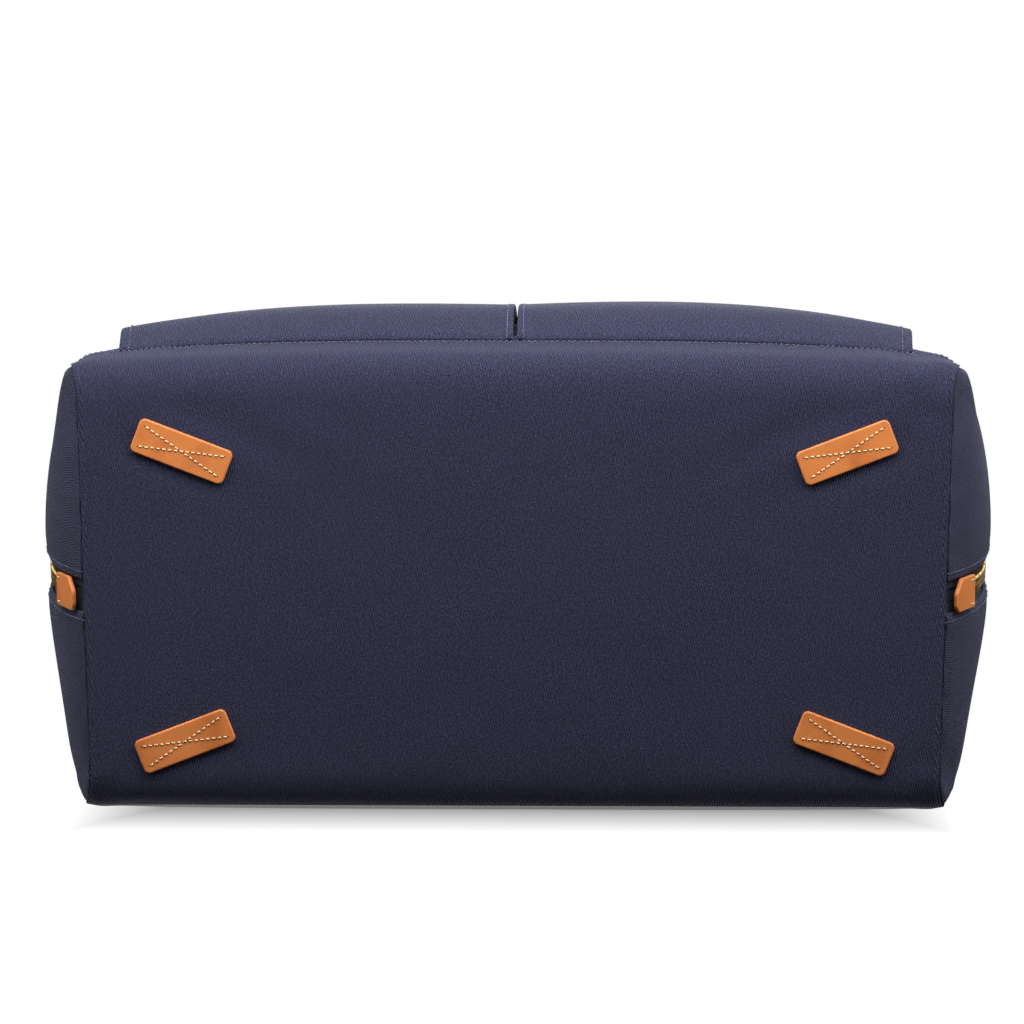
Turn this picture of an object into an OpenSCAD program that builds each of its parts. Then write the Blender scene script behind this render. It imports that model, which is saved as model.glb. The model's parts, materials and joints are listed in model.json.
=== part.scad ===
// Soft-sided canvas weekender bag with leather trim and a full-length top zip.
// X runs along the bag, -Y is the front with its two pockets, +Z is up.
// The origin lies on the ground under the middle of the bag's outer size.
// Shapes are drawn from the plane of the zip, which lies a little behind that middle.

/* [Body] */
// Length of the base between its two end seams
base_length = 508; // [460:4:560]
// Length of the bag over its swollen ends
body_length = 590; // [570:2:640]
// Height of the closed top above the ground
body_height = 293; // [280:1:320]
// Distance from the zip line to the front bottom edge
front_depth = 142; // [134:1:146]
// Distance from the zip line to the back bottom edge
back_depth = 124; // [122:1:130]
// Distance from the zip line to the top edges of front and back
top_depth = 120; // [116:1:122]
// How far the middle of the front swells out past its ends
front_swell = 18; // [10:1:22]
// How far the middle of the back swells out past its ends
back_swell = 5; // [2:1:10]
// Thickness of the canvas walls with their backing
wall = 3; // [2.5:0.5:3.5]
// Height of the seam between the base panel and the front and back panels
seam_height = 40; // [36:1:48]

/* [Top opening] */
// Length of the folding part of the top
flap_length = 400; // [360:4:410]
// Clear width between the folded edges along the zip
zip_recess = 19; // [18:0.5:22]

/* [Pockets] */
// Width of each front pocket
pocket_width = 233; // [205:1:236]
// Height of the pocket openings above the ground
pocket_top = 200; // [180:1:202]
// Room between a pocket and the front panel
pocket_room = 10; // [8:0.5:12]

/* [Feet] */
// Length of a leather foot
foot_length = 58; // [50:1:64]
// Width of a leather foot
foot_width = 21; // [18:1:24]
// Thickness of a leather foot
foot_thickness = 3; // [2.5:0.5:4]
// Angle of each foot to the length of the bag
foot_angle = 21; // [0:1:45]
// Distance of the feet from the middle of the base, along it
foot_x = 195; // [180:1:205]
// Distance of the feet from the middle of the base, across it
foot_y = 86.5; // [70:0.5:88]

/* [Handles] */
// Distance of each handle leg from the middle
leg_x = 105; // [95:1:115]
// Height of the top of a handle above its pivot
handle_rise = 180; // [160:1:190]
// Radius of the rolled grip
grip_radius = 9; // [8:0.5:10]
// Inward lean of the standing handles
handle_lean = 7; // [4:1:8]

/* [Hidden] */

canvas = "#2a2f4c";
canvas_inside = "#b9ab8d";
tan_leather = "#b96f3b";
brass = "#b08a45";
tape_cloth = "#1d2034";
board_grey = "#77736a";

round_steps = 48;
far = 700;
gap = 0.3;
hinge_gap = 0.5;

// The shell
base_z = foot_thickness;
edge_round = 24;
belly_z = 130;
widest_z = 185;
flare_z = 68;
top_run = 235;
lining_gap = 0.3;
lining_wall = 1.2;
board_thickness = 3;
board_margin = 12;
lining_floor = base_z + wall + board_thickness + 2 * lining_gap;
lining_top = lining_floor + lining_wall;
lining_slot = zip_recess / 2 + 8;
lining_rim = 2;

// The zip, whose teeth lie below the surface of the canvas
zip_half = zip_recess / 2;
tape_thickness = 0.8;
tape_edge = zip_half + 7;
teeth_inner = 0.7;
teeth_outer = 4.7;
teeth_sink = 1.2;
teeth_height = 4.2;
flap_bottom = body_height - wall;
teeth_top = body_height - teeth_sink;
teeth_bottom = teeth_top - teeth_height;
run_end = lining_top + 1;

// The slider, parked just past the left end of the folding top
slider_length = 18;
slider_width = 13;
slider_nose = 4;
slider_clearance = 0.5;
slider_plate = 2.2;
slider_park = 12;
slider_x = -(flap_length / 2 + slider_park);
slider_top = teeth_top + slider_clearance + slider_plate;
wedge_half = 0.45;
wedge_length = 6;
eye_half = 1.5;
eye_length = 7;
eye_rise = 2.4;
link_z = slider_top + eye_rise;

// The wire link on the slider and its leather pull
link_pin_radius = 1;
link_bore_radius = 1.1;
link_arm = 12;
link_half_width = 4.5;
link_wire = 2;
link_eye = 1.4;
pull_length = 44;
pull_width = 14;
pull_thickness = 3;
pull_tilt = 3;
pull_fold = 2.2;
pull_neck = 5;

// The pockets
pocket_wall = 2.5;
pocket_slit = 4;
pocket_low = seam_height + 1;

// Leather loops that hold a wire bar, and the rings in them
wire_radius = 2;
loop_bore = 2.1;
loop_radius = 4.6;
tab_leather = 3;
tab_width = 24;
tab_drop = 34;
loop_width = 18;
ring_width = 30;
ring_height = 22;
ring_corner = 5;
handle_loop_offset = 8;

// The handles
leg_width = 22;
leg_thickness = 5;
arch_radius = 70;
arch_z = handle_rise - arch_radius;
grip_tail = 12;
core_radius = grip_radius - 2;

// Points of a soft bend from a to c that is drawn towards b, without a itself
function bend_point(a, b, c, t) = (1 - t) * (1 - t) * a + 2 * t * (1 - t) * b + t * t * c;
function bend(a, b, c, steps = 10) = [for (i = [1:steps]) bend_point(a, b, c, i / steps)];

// Corner points of the side of the bag, as [y, z], moved in by inset
function top_corner(depth, inset) = [depth - inset, body_height - inset];
function belly_corner(depth, swell, inset) = [(depth + top_depth) / 2 + 2 * swell - inset, belly_z];
function low_corner(depth, inset) = [depth - inset, base_z + edge_round];
function floor_corner(depth, inset) = [depth - inset, base_z + inset];
function floor_end(depth, inset) = [depth - edge_round, base_z + inset];

// One half of that side, from the floor up to the top
function half_side(depth, swell, inset) = concat(
    [floor_end(depth, inset)],
    bend(floor_end(depth, inset), floor_corner(depth, inset), low_corner(depth, inset)),
    bend(low_corner(depth, inset), belly_corner(depth, swell, inset), top_corner(top_depth, inset))
);
function reversed(list) = [for (i = [len(list) - 1:-1:0]) list[i]];
function mirrored(list) = [for (p = reversed(list)) [-p[0], p[1]]];
function side_outline(inset) = concat(
    half_side(back_depth, back_swell, inset),
    mirrored(half_side(front_depth, front_swell, inset))
);

// One half of the front of the bag, as [x, z], from the base seam up to the top
function end_low(inset) = [base_length / 2 - inset / 2, base_z + inset];
function end_flare(inset) = [body_length / 2 - inset, flare_z];
function end_widest(inset) = [body_length / 2 - inset, widest_z];
function end_corner(inset) = [body_length / 2 - inset, body_height - inset];
function end_top(inset) = [top_run, body_height - inset];
function half_face(inset) = concat(
    [end_low(inset)],
    bend(end_low(inset), end_flare(inset), end_widest(inset)),
    bend(end_widest(inset), end_corner(inset), end_top(inset))
);
function face_outline(inset) = concat(half_face(inset), mirrored(half_face(inset)));

// Point of the front or back above its lower rounding, as [depth, height]
function face_bend(depth, swell, t) =
    bend_point(low_corner(depth, 0), belly_corner(depth, swell, 0), top_corner(top_depth, 0), t);

// The pivot of a handle, on the lower bar of its rings, as [depth, height]
function handle_foot(depth, swell) = face_bend(depth, swell, 0.83) + [handle_loop_offset, 0];
front_pivot = handle_foot(front_depth, front_swell);
back_pivot = handle_foot(back_depth, back_swell);
function pivot(face) = face < 0 ? front_pivot : back_pivot;

// How far the pockets and the back handle tabs reach from the plane of the zip
front_reach = face_bend(front_depth, front_swell, 0.4)[0] + pocket_room + pocket_wall;
back_reach = back_pivot[0] + loop_radius;
zip_y = (front_reach - back_reach) / 2;

module block(low, high) {
    translate(low) cube(high - low);
}

// Moves its children from the plane of the zip into the frame of the bag
module on_zip_line() {
    translate([0, zip_y, 0]) children();
}

// Solid of the bag's side outline along X, and of its front outline along Y
module side_prism(inset, reach = far) {
    rotate([90, 0, 90])
        linear_extrude(2 * reach, center = true)
            polygon(side_outline(inset));
}
module face_prism(inset, reach = far) {
    rotate([90, 0, 0])
        linear_extrude(2 * reach, center = true)
            polygon(face_outline(inset));
}

// Skins that follow the side outline or the front outline
module side_band(outer, inner) {
    difference() {
        side_prism(outer, far);
        side_prism(inner, far + 1);
    }
}
module face_band(outer, inner) {
    difference() {
        face_prism(outer, far);
        face_prism(inner, far + 1);
    }
}

// Draws its children on the left as modelled, and mirrored on the right
module on_side(side) {
    if (side < 0) children();
    else mirror([1, 0, 0]) children();
}

// Draws its children on the front as modelled, and mirrored on the back
module on_face(face) {
    if (face < 0) children();
    else mirror([0, 1, 0]) children();
}

// ---------- Shell ----------

module base_panel() {
    color(canvas) on_zip_line()
        intersection() {
            side_band(0, wall);
            face_prism(0);
            block([-far, -far, 0], [far, far, seam_height]);
        }
}

module base_board() {
    half = base_length / 2 - board_margin;
    low = base_z + wall + lining_gap;
    color(board_grey) on_zip_line()
        block([-half, edge_round - front_depth, low],
              [half, back_depth - edge_round, low + board_thickness]);
}

// Front or back panel, from the base seam to the top edge
module face_panel(face) {
    near = top_depth - wall;
    color(canvas) on_zip_line()
        intersection() {
            side_band(0, wall);
            face_prism(0);
            on_face(face) block([-far, -far, seam_height + gap], [far, -near, body_height - hinge_gap]);
        }
}

module front_panel() face_panel(-1);
module back_panel() face_panel(1);

// Half of an end, from the base seam over the top corner to the folding part
module end_half(side, face) {
    color(canvas) on_zip_line()
        intersection() {
            face_band(0, wall);
            side_prism(wall + gap);
            on_side(side)
                on_face(face)
                    block([-far, -far, 0], [-flap_length / 2, -zip_half, far]);
        }
}

module left_end_front() end_half(-1, -1);
module left_end_back() end_half(-1, 1);
module right_end_front() end_half(1, -1);
module right_end_back() end_half(1, 1);

module inner_space(inset) {
    intersection() {
        side_prism(inset);
        face_prism(inset);
    }
}

// Fabric inside the whole bag, open under the zip and under the folding part of the top
module lining() {
    outer = wall + lining_gap;
    inner = outer + lining_wall;
    color(canvas_inside) on_zip_line()
        difference() {
            intersection() {
                inner_space(outer);
                block([-far, -far, lining_floor], [far, far, far]);
            }
            intersection() {
                inner_space(inner);
                block([-far, -far, lining_top], [far, far, far]);
            }
            block([-far, -lining_slot, lining_top + gap], [far, lining_slot, far]);
            block([-flap_length / 2, -far, flap_bottom - lining_rim], [flap_length / 2, far, far]);
        }
}

// ---------- Pockets ----------

module pocket(side) {
    low_x = pocket_slit / 2;
    high_x = low_x + pocket_width;
    color(canvas) on_zip_line()
        on_side(-side)
            difference() {
                intersection() {
                    side_band(-pocket_room - pocket_wall, 0);
                    block([low_x, -far, pocket_low], [high_x, -top_depth, pocket_top]);
                }
                intersection() {
                    side_prism(-pocket_room);
                    block([low_x + pocket_wall, -far, pocket_low + pocket_wall],
                          [high_x - pocket_wall, 0, pocket_top + 1]);
                }
            }
}

module left_pocket() pocket(-1);
module right_pocket() pocket(1);

// ---------- Zip ----------

// A strip along both sides of an end run of the zip, between two distances from the zip line
module end_run(side, outer, inner, near, away) {
    for (face = [-1, 1])
        intersection() {
            face_band(outer, inner);
            on_side(side)
                on_face(face)
                    block([-far, -away, run_end], [-flap_length / 2, -near, far]);
        }
}

module zip_tape(side) {
    color(tape_cloth) on_zip_line()
        end_run(side, wall, wall + tape_thickness, teeth_outer, tape_edge);
}

module zip_teeth(side) {
    color(brass) on_zip_line()
        end_run(side, teeth_sink, teeth_sink + teeth_height, teeth_inner, teeth_outer);
}

// Leather tab over the lower end of the zip, with its lower corners cut off
module zip_tab(side) {
    half_width = zip_half + 1;
    low = base_z + 4;
    high = low + 30;
    front_cut = 8;
    back_cut = 3;
    outline = [
        [-half_width, low + front_cut],
        [-half_width + front_cut, low],
        [half_width - back_cut, low],
        [half_width, low + back_cut],
        [half_width, high],
        [-half_width, high]
    ];
    color(tan_leather) on_zip_line()
        intersection() {
            face_band(-gap - tab_leather, -gap);
            on_side(side)
                translate([-far, 0, 0])
                    rotate([90, 0, 90])
                        linear_extrude(far) polygon(outline);
        }
}

module left_zip_tape() zip_tape(-1);
module right_zip_tape() zip_tape(1);
module left_zip_teeth() zip_teeth(-1);
module right_zip_teeth() zip_teeth(1);
module left_zip_tab() zip_tab(-1);
module right_zip_tab() zip_tab(1);

// ---------- Folding top ----------

// A flat strip of one folding half of the top, between two distances from the zip line
module top_strip(face, near, away, low, high) {
    half = flap_length / 2 - hinge_gap;
    on_face(face) block([-half, -away, low], [half, -near, high]);
}

module flap(face) {
    away = top_depth - wall - hinge_gap;
    color(canvas) on_zip_line() top_strip(face, zip_half, away, flap_bottom, body_height);
}

module flap_lining(face) {
    high = flap_bottom - gap;
    away = top_depth - 2 * wall;
    color(canvas_inside) on_zip_line() top_strip(face, tape_edge + gap, away, high - lining_wall, high);
}

module flap_tape(face) {
    low = flap_bottom - tape_thickness;
    color(tape_cloth) on_zip_line() top_strip(face, teeth_outer, tape_edge, low, flap_bottom);
}

module flap_teeth(face) {
    color(brass) on_zip_line() top_strip(face, teeth_inner, teeth_outer, teeth_bottom, teeth_top);
}

module front_flap() flap(-1);
module front_flap_lining() flap_lining(-1);
module front_flap_tape() flap_tape(-1);
module front_flap_teeth() flap_teeth(-1);
module back_flap() flap(1);
module back_flap_lining() flap_lining(1);
module back_flap_tape() flap_tape(1);
module back_flap_teeth() flap_teeth(1);

// ---------- Slider and pull ----------

module slider_plate_at(z) {
    half_width = slider_width / 2;
    half_length = slider_length / 2;
    outline = [
        [-half_length, -half_width],
        [half_length - slider_nose, -half_width],
        [half_length, -half_width + slider_nose / 2],
        [half_length, half_width - slider_nose / 2],
        [half_length - slider_nose, half_width],
        [-half_length, half_width]
    ];
    translate([slider_x, 0, z])
        linear_extrude(slider_plate) polygon(outline);
}

// Two plates joined by a thin wedge between the rows of teeth, with an eye for the pull
module zip_slider() {
    low = teeth_bottom - slider_clearance - slider_plate;
    inside_top = slider_top - slider_plate / 2;
    eye_round = slider_plate + eye_rise / 10;
    color(brass) on_zip_line()
        difference() {
            union() {
                slider_plate_at(low);
                slider_plate_at(slider_top - slider_plate);
                block([slider_x + 2, -wedge_half, low + slider_plate / 2],
                      [slider_x + 2 + wedge_length, wedge_half, inside_top]);
                block([slider_x - eye_length / 2, -eye_half, inside_top],
                      [slider_x + eye_length / 2, eye_half, link_z + eye_round]);
            }
            translate([slider_x, 0, link_z])
                rotate([90, 0, 0])
                    cylinder(h = 4 * eye_half, r = link_bore_radius, center = true, $fn = round_steps);
        }
}

// Draws its children, modelled along -X from the pivot, in the tilt at which the pull lies
module at_pull() {
    translate([slider_x, 0, link_z])
        rotate([0, -pull_tilt, 0]) children();
}

// Wire link of the pull: a pin through the eye, two arms and a bar for the leather
module pull_link() {
    color(brass) on_zip_line()
        at_pull() {
            for (x = [0, -link_arm])
                translate([x, 0, 0])
                    rotate([90, 0, 0])
                        cylinder(h = 2 * link_half_width, r = link_pin_radius, center = true, $fn = round_steps);
            for (y = [-link_half_width, link_half_width])
                block([-link_arm - link_eye, y - link_wire / 2, -link_wire / 2 - 0.2],
                      [link_eye, y + link_wire / 2, link_wire / 2 + 0.2]);
        }
}

// Leather strip folded round the bar of the link, with its neck between the two arms
module pull_tab() {
    near = -link_arm + pull_fold;
    neck_half = link_half_width - link_wire / 2 - gap;
    color(tan_leather) on_zip_line()
        at_pull()
            difference() {
                block([near - pull_length, -pull_width / 2, -pull_thickness / 2],
                      [near, pull_width / 2, pull_thickness / 2]);
                translate([-link_arm, 0, 0])
                    rotate([90, 0, 0])
                        cylinder(h = far, r = link_bore_radius, center = true, $fn = round_steps);
                for (face = [-1, 1])
                    on_face(face)
                        block([near - pull_neck, -far, -far], [far, -neck_half, far]);
            }
}

// ---------- Feet ----------

module foot(side, face) {
    corner = 3.5;
    inner = [foot_length - 2 * corner, foot_width - 2 * corner];
    color(tan_leather) on_zip_line()
        translate([side * foot_x, face * foot_y, 0])
            rotate(side * face * foot_angle)
                linear_extrude(foot_thickness) {
                    square([foot_length, inner[1]], center = true);
                    square([inner[0], foot_width], center = true);
                    for (x = [-1, 1], y = [-1, 1])
                        translate([x * inner[0] / 2, y * inner[1] / 2]) circle(corner, $fn = round_steps);
                }
}

module foot_front_left() foot(-1, -1);
module foot_front_right() foot(1, -1);
module foot_back_left() foot(-1, 1);
module foot_back_right() foot(1, 1);

// ---------- Rings and the leather loops round them ----------

// Side view of the fold of a tab that stands off the surface by offset and goes round a bar
module loop_outline(bar, offset) {
    inner = bar[0] - offset - 1;
    translate(bar) circle(loop_radius, $fn = round_steps);
    polygon([
        [inner, bar[1] - tab_drop / 2],
        [inner, bar[1] + loop_radius],
        [bar[0], bar[1] + loop_radius],
        [bar[0] - loop_radius, bar[1]]
    ]);
}

// Rectangular wire ring in the XZ plane, with the middle of its lower bar at the origin
module wire_ring(width, height) {
    half = width / 2;
    straight_x = width - 2 * ring_corner;
    straight_z = height - 2 * ring_corner;
    for (z = [0, height])
        translate([0, 0, z])
            rotate([0, 90, 0]) cylinder(h = straight_x, r = wire_radius, center = true, $fn = round_steps);
    for (x = [-half, half])
        translate([x, 0, height / 2])
            cylinder(h = straight_z, r = wire_radius, center = true, $fn = round_steps);
    for (x = [-1, 1], top = [0, 1])
        translate([x * (half - ring_corner), 0, top == 1 ? height - ring_corner : ring_corner])
            rotate([90, 0, 0])
                rotate(top == 1 ? (x == 1 ? 0 : 90) : (x == 1 ? 270 : 180))
                    rotate_extrude(angle = 90, $fn = round_steps)
                        translate([ring_corner, 0]) circle(wire_radius, $fn = round_steps);
}

// ---------- Handles ----------

// Draws its children, modelled upwards from the pivot, in the lean of the standing handle
module at_handle(face) {
    on_face(face)
        translate([0, -pivot(face)[0], pivot(face)[1]])
            rotate([-handle_lean, 0, 0]) children();
}

// Leather tabs on the panel, each folded round the lower bar of a ring
module handle_tabs(face) {
    foot_z = pivot(face)[1];
    color(tan_leather) on_zip_line()
        for (x = [-leg_x, leg_x])
            difference() {
                union() {
                    intersection() {
                        side_band(-tab_leather, 0);
                        on_face(face)
                            block([x - tab_width / 2, -far, foot_z - tab_drop],
                                  [x + tab_width / 2, 0, foot_z]);
                    }
                    on_face(-face)
                        translate([x, 0, 0])
                            rotate([90, 0, 90])
                                linear_extrude(loop_width, center = true)
                                    loop_outline(pivot(face), handle_loop_offset);
                }
                on_face(-face)
                    translate([x, pivot(face)[0], foot_z])
                        rotate([0, 90, 0])
                            cylinder(h = tab_width + 2, r = loop_bore, center = true, $fn = round_steps);
                side_prism(0);
            }
}

module rivets(face) {
    rivet_radius = 3.5;
    rivet_head = 1.6;
    rivet_drop = 22;
    color(brass) on_zip_line()
        for (x = [-leg_x, leg_x])
            intersection() {
                side_band(-tab_leather - rivet_head, -tab_leather);
                on_face(face)
                    translate([x, -far / 2, pivot(face)[1] - rivet_drop])
                        rotate([90, 0, 0])
                            cylinder(h = far, r = rivet_radius, center = true, $fn = round_steps);
            }
}

// Rod of the arch: two short tails, two round corners and the straight top
module arch_rod(radius, tail) {
    half_top = leg_x - arch_radius;
    translate([0, 0, handle_rise])
        rotate([0, 90, 0]) cylinder(h = 2 * half_top, r = radius, center = true, $fn = round_steps);
    for (x = [-1, 1]) {
        translate([x * half_top, 0, arch_z])
            rotate([90, 0, 0])
                rotate(x == 1 ? 0 : 90)
                    rotate_extrude(angle = 90, $fn = round_steps)
                        translate([arch_radius, 0]) circle(radius, $fn = round_steps);
        translate([x * leg_x, 0, arch_z - tail])
            cylinder(h = tail, r = radius, $fn = round_steps);
    }
}

// Leather handle: two flat legs, each folded round the upper bar of a ring, and a rolled grip
module handle(face) {
    leg_top = arch_z - grip_tail + 3;
    color(tan_leather) on_zip_line()
        at_handle(face)
            difference() {
                union() {
                    arch_rod(grip_radius, grip_tail);
                    for (x = [-leg_x, leg_x]) {
                        block([x - leg_width / 2, -leg_thickness / 2, ring_height + 3],
                              [x + leg_width / 2, leg_thickness / 2, leg_top]);
                        translate([x, 0, ring_height])
                            rotate([0, 90, 0])
                                cylinder(h = loop_width, r = loop_radius, center = true, $fn = round_steps);
                    }
                }
                arch_rod(core_radius, grip_tail - 4);
                for (x = [-leg_x, leg_x])
                    translate([x, 0, ring_height])
                        rotate([0, 90, 0])
                            cylinder(h = ring_width + 8, r = loop_bore, center = true, $fn = round_steps);
            }
}

module handle_core(face) {
    color(canvas_inside) on_zip_line() at_handle(face) arch_rod(core_radius - 0.1, grip_tail - 4.1);
}

module handle_rings(face) {
    color(brass) on_zip_line()
        at_handle(face)
            for (x = [-leg_x, leg_x])
                translate([x, 0, 0]) wire_ring(ring_width, ring_height);
}

module front_handle_tabs() handle_tabs(-1);
module back_handle_tabs() handle_tabs(1);
module front_rivets() rivets(-1);
module back_rivets() rivets(1);
module front_handle() handle(-1);
module front_handle_core() handle_core(-1);
module front_handle_rings() handle_rings(-1);
module back_handle() handle(1);
module back_handle_core() handle_core(1);
module back_handle_rings() handle_rings(1);

base_panel();
base_board();
front_panel();
back_panel();
lining();
left_end_front();
left_end_back();
right_end_front();
right_end_back();
left_pocket();
right_pocket();
left_zip_tape();
right_zip_tape();
left_zip_teeth();
right_zip_teeth();
left_zip_tab();
right_zip_tab();
foot_front_left();
foot_front_right();
foot_back_left();
foot_back_right();
front_handle_tabs();
back_handle_tabs();
front_rivets();
back_rivets();
front_flap();
front_flap_lining();
front_flap_tape();
front_flap_teeth();
back_flap();
back_flap_lining();
back_flap_tape();
back_flap_teeth();
zip_slider();
pull_link();
pull_tab();
front_handle();
front_handle_core();
front_handle_rings();
back_handle();
back_handle_core();
back_handle_rings();
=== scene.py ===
"""Looks of the weekender bag: sewn canvas shell, leather trim, zip, handles, floor, light and camera.

Lengths are in metres. X runs along the bag, -Y is its front and +Z is up.
"""
import json
import math
import random

import bpy
import numpy as np
from mathutils import Matrix, Vector, noise


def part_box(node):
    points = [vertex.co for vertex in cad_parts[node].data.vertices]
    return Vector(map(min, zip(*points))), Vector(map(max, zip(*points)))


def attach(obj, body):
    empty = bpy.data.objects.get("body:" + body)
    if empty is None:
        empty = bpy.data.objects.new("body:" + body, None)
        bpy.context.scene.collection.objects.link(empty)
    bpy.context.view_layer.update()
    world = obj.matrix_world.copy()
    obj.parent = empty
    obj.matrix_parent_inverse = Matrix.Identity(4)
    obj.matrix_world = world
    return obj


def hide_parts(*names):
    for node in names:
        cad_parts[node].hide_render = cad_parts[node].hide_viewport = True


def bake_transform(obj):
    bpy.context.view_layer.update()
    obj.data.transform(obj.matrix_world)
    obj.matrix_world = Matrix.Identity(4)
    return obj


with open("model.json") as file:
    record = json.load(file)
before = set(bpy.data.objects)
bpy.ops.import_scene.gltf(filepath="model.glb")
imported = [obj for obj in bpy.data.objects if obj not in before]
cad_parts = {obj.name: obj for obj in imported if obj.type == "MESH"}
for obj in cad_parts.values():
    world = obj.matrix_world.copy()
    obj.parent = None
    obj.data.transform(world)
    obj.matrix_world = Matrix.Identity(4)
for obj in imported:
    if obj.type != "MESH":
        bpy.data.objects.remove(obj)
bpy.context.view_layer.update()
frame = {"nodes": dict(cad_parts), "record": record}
rng = random.Random(7)

# ---------- Sizes, from the frame ----------

JOINTS = {joint["name"]: joint for joint in frame["record"]["behaviour"]["joints"]}
ZIP_Y = (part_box("front_flap_teeth")[1][1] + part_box("back_flap_teeth")[0][1]) / 2
EDGE_ROUND = 0.024
BASE_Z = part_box("base_panel")[0][2]
SEAM_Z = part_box("base_panel")[1][2]
TOP_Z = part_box("front_flap")[1][2]
BASE_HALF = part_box("base_board")[1][0] + 0.012
BODY_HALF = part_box("front_panel")[1][0]
FLAP_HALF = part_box("front_flap")[1][0] + 0.0005
TOP_RUN = 0.235
FRONT_DEPTH = ZIP_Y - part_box("base_board")[0][1] + EDGE_ROUND
BACK_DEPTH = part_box("base_board")[1][1] - ZIP_Y + EDGE_ROUND
TOP_DEPTH = ZIP_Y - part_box("front_flap")[0][1] + 0.0035
ZIP_HALF = ZIP_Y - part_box("front_flap")[1][1]
BELLY_Z = 0.130
FLARE_Z = 0.068
WIDEST_Z = 0.185
HEM_Z = 0.0335

# How far front and back stand out: SWELL at the belly, HEEL above the base seam, DROP towards their ends.
FRONT_SWELL = 0.018
BACK_SWELL = 0.005
FRONT_HEEL = 0.0045
BACK_HEEL = 0.0088
FRONT_DROP = 0.016
BACK_DROP = 0.007

# How far an end stands back at its front and back corner.
END_FRONT_DROP = 0.0245
END_BACK_DROP = 0.019

TAPER = 0.010
STEP = 0.009
CLOTH = 0.0016
THIN_CLOTH = 0.0009
TAPE_CLOTH = 0.0007
SOFT_EDGE = 0.016
EDGE_PULL = 0.29


# ---------- Small helpers for curves and meshes ----------

def bend_point(a, b, c, t):
    """Point at t of the soft bend from a to c that is drawn towards b."""
    a, b, c = (np.asarray(p, float) for p in (a, b, c))
    t = np.asarray(t, float)[..., None]
    return (1 - t) ** 2 * a + 2 * t * (1 - t) * b + t ** 2 * c


def smooth(x, low=0.0, high=1.0):
    """Smooth step from 0 at low to 1 at high."""
    t = np.clip((np.asarray(x, float) - low) / (high - low), 0, 1)
    return t * t * (3 - 2 * t)


def resample(points, step):
    """Points at even distances of about step along a polyline; columns after the third go along with them."""
    points = np.asarray(points, float)
    lengths = np.concatenate([[0], np.cumsum(np.linalg.norm(np.diff(points[:, :3], axis=0), axis=1))])
    count = max(2, int(round(lengths[-1] / step)) + 1)
    where = np.linspace(0, lengths[-1], count)
    return np.stack([np.interp(where, lengths, points[:, k]) for k in range(points.shape[1])], axis=1)


def unit(v):
    """Vectors scaled to length one."""
    v = np.asarray(v, float)
    return v / np.maximum(np.linalg.norm(v, axis=-1, keepdims=True), 1e-12)


def new_object(name, verts, faces, material, smooth_shade=True):
    """Mesh object from points and faces."""
    mesh = bpy.data.meshes.new(name)
    mesh.from_pydata([tuple(map(float, v)) for v in verts], [], [tuple(f) for f in faces])
    mesh.update()
    mesh.materials.append(material)
    if smooth_shade:
        mesh.shade_smooth()
    obj = bpy.data.objects.new(name, mesh)
    bpy.context.scene.collection.objects.link(obj)
    return obj


def grid_faces(rows, cols, flip=False, close=False):
    """Quads of a grid whose points are stored row by row; close joins the last column to the first."""
    faces = []
    for i in range(rows - 1):
        for j in range(cols if close else cols - 1):
            k = (j + 1) % cols
            quad = (i * cols + j, i * cols + k, (i + 1) * cols + k, (i + 1) * cols + j)
            faces.append(quad[::-1] if flip else quad)
    return faces


def grid_normals(points):
    """Normals of a grid of points, by its two directions."""
    along = np.gradient(points, axis=0)
    across = np.gradient(points, axis=1)
    return unit(np.cross(across, along))


def set_weave(obj, coords):
    """Stores flat cloth coordinates, in metres, on the points of a mesh."""
    layer = obj.data.attributes.new("weave", "FLOAT_VECTOR", "POINT")
    flat = np.zeros((len(obj.data.vertices), 3))
    flat[:, :2] = np.asarray(coords).reshape(-1, 2)
    layer.data.foreach_set("vector", flat.ravel())


def add_modifier(obj, kind, **values):
    """Adds a modifier with the given settings."""
    modifier = obj.modifiers.new(kind.title(), kind)
    for key, value in values.items():
        setattr(modifier, key, value)
    return modifier


# ---------- Materials ----------

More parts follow.
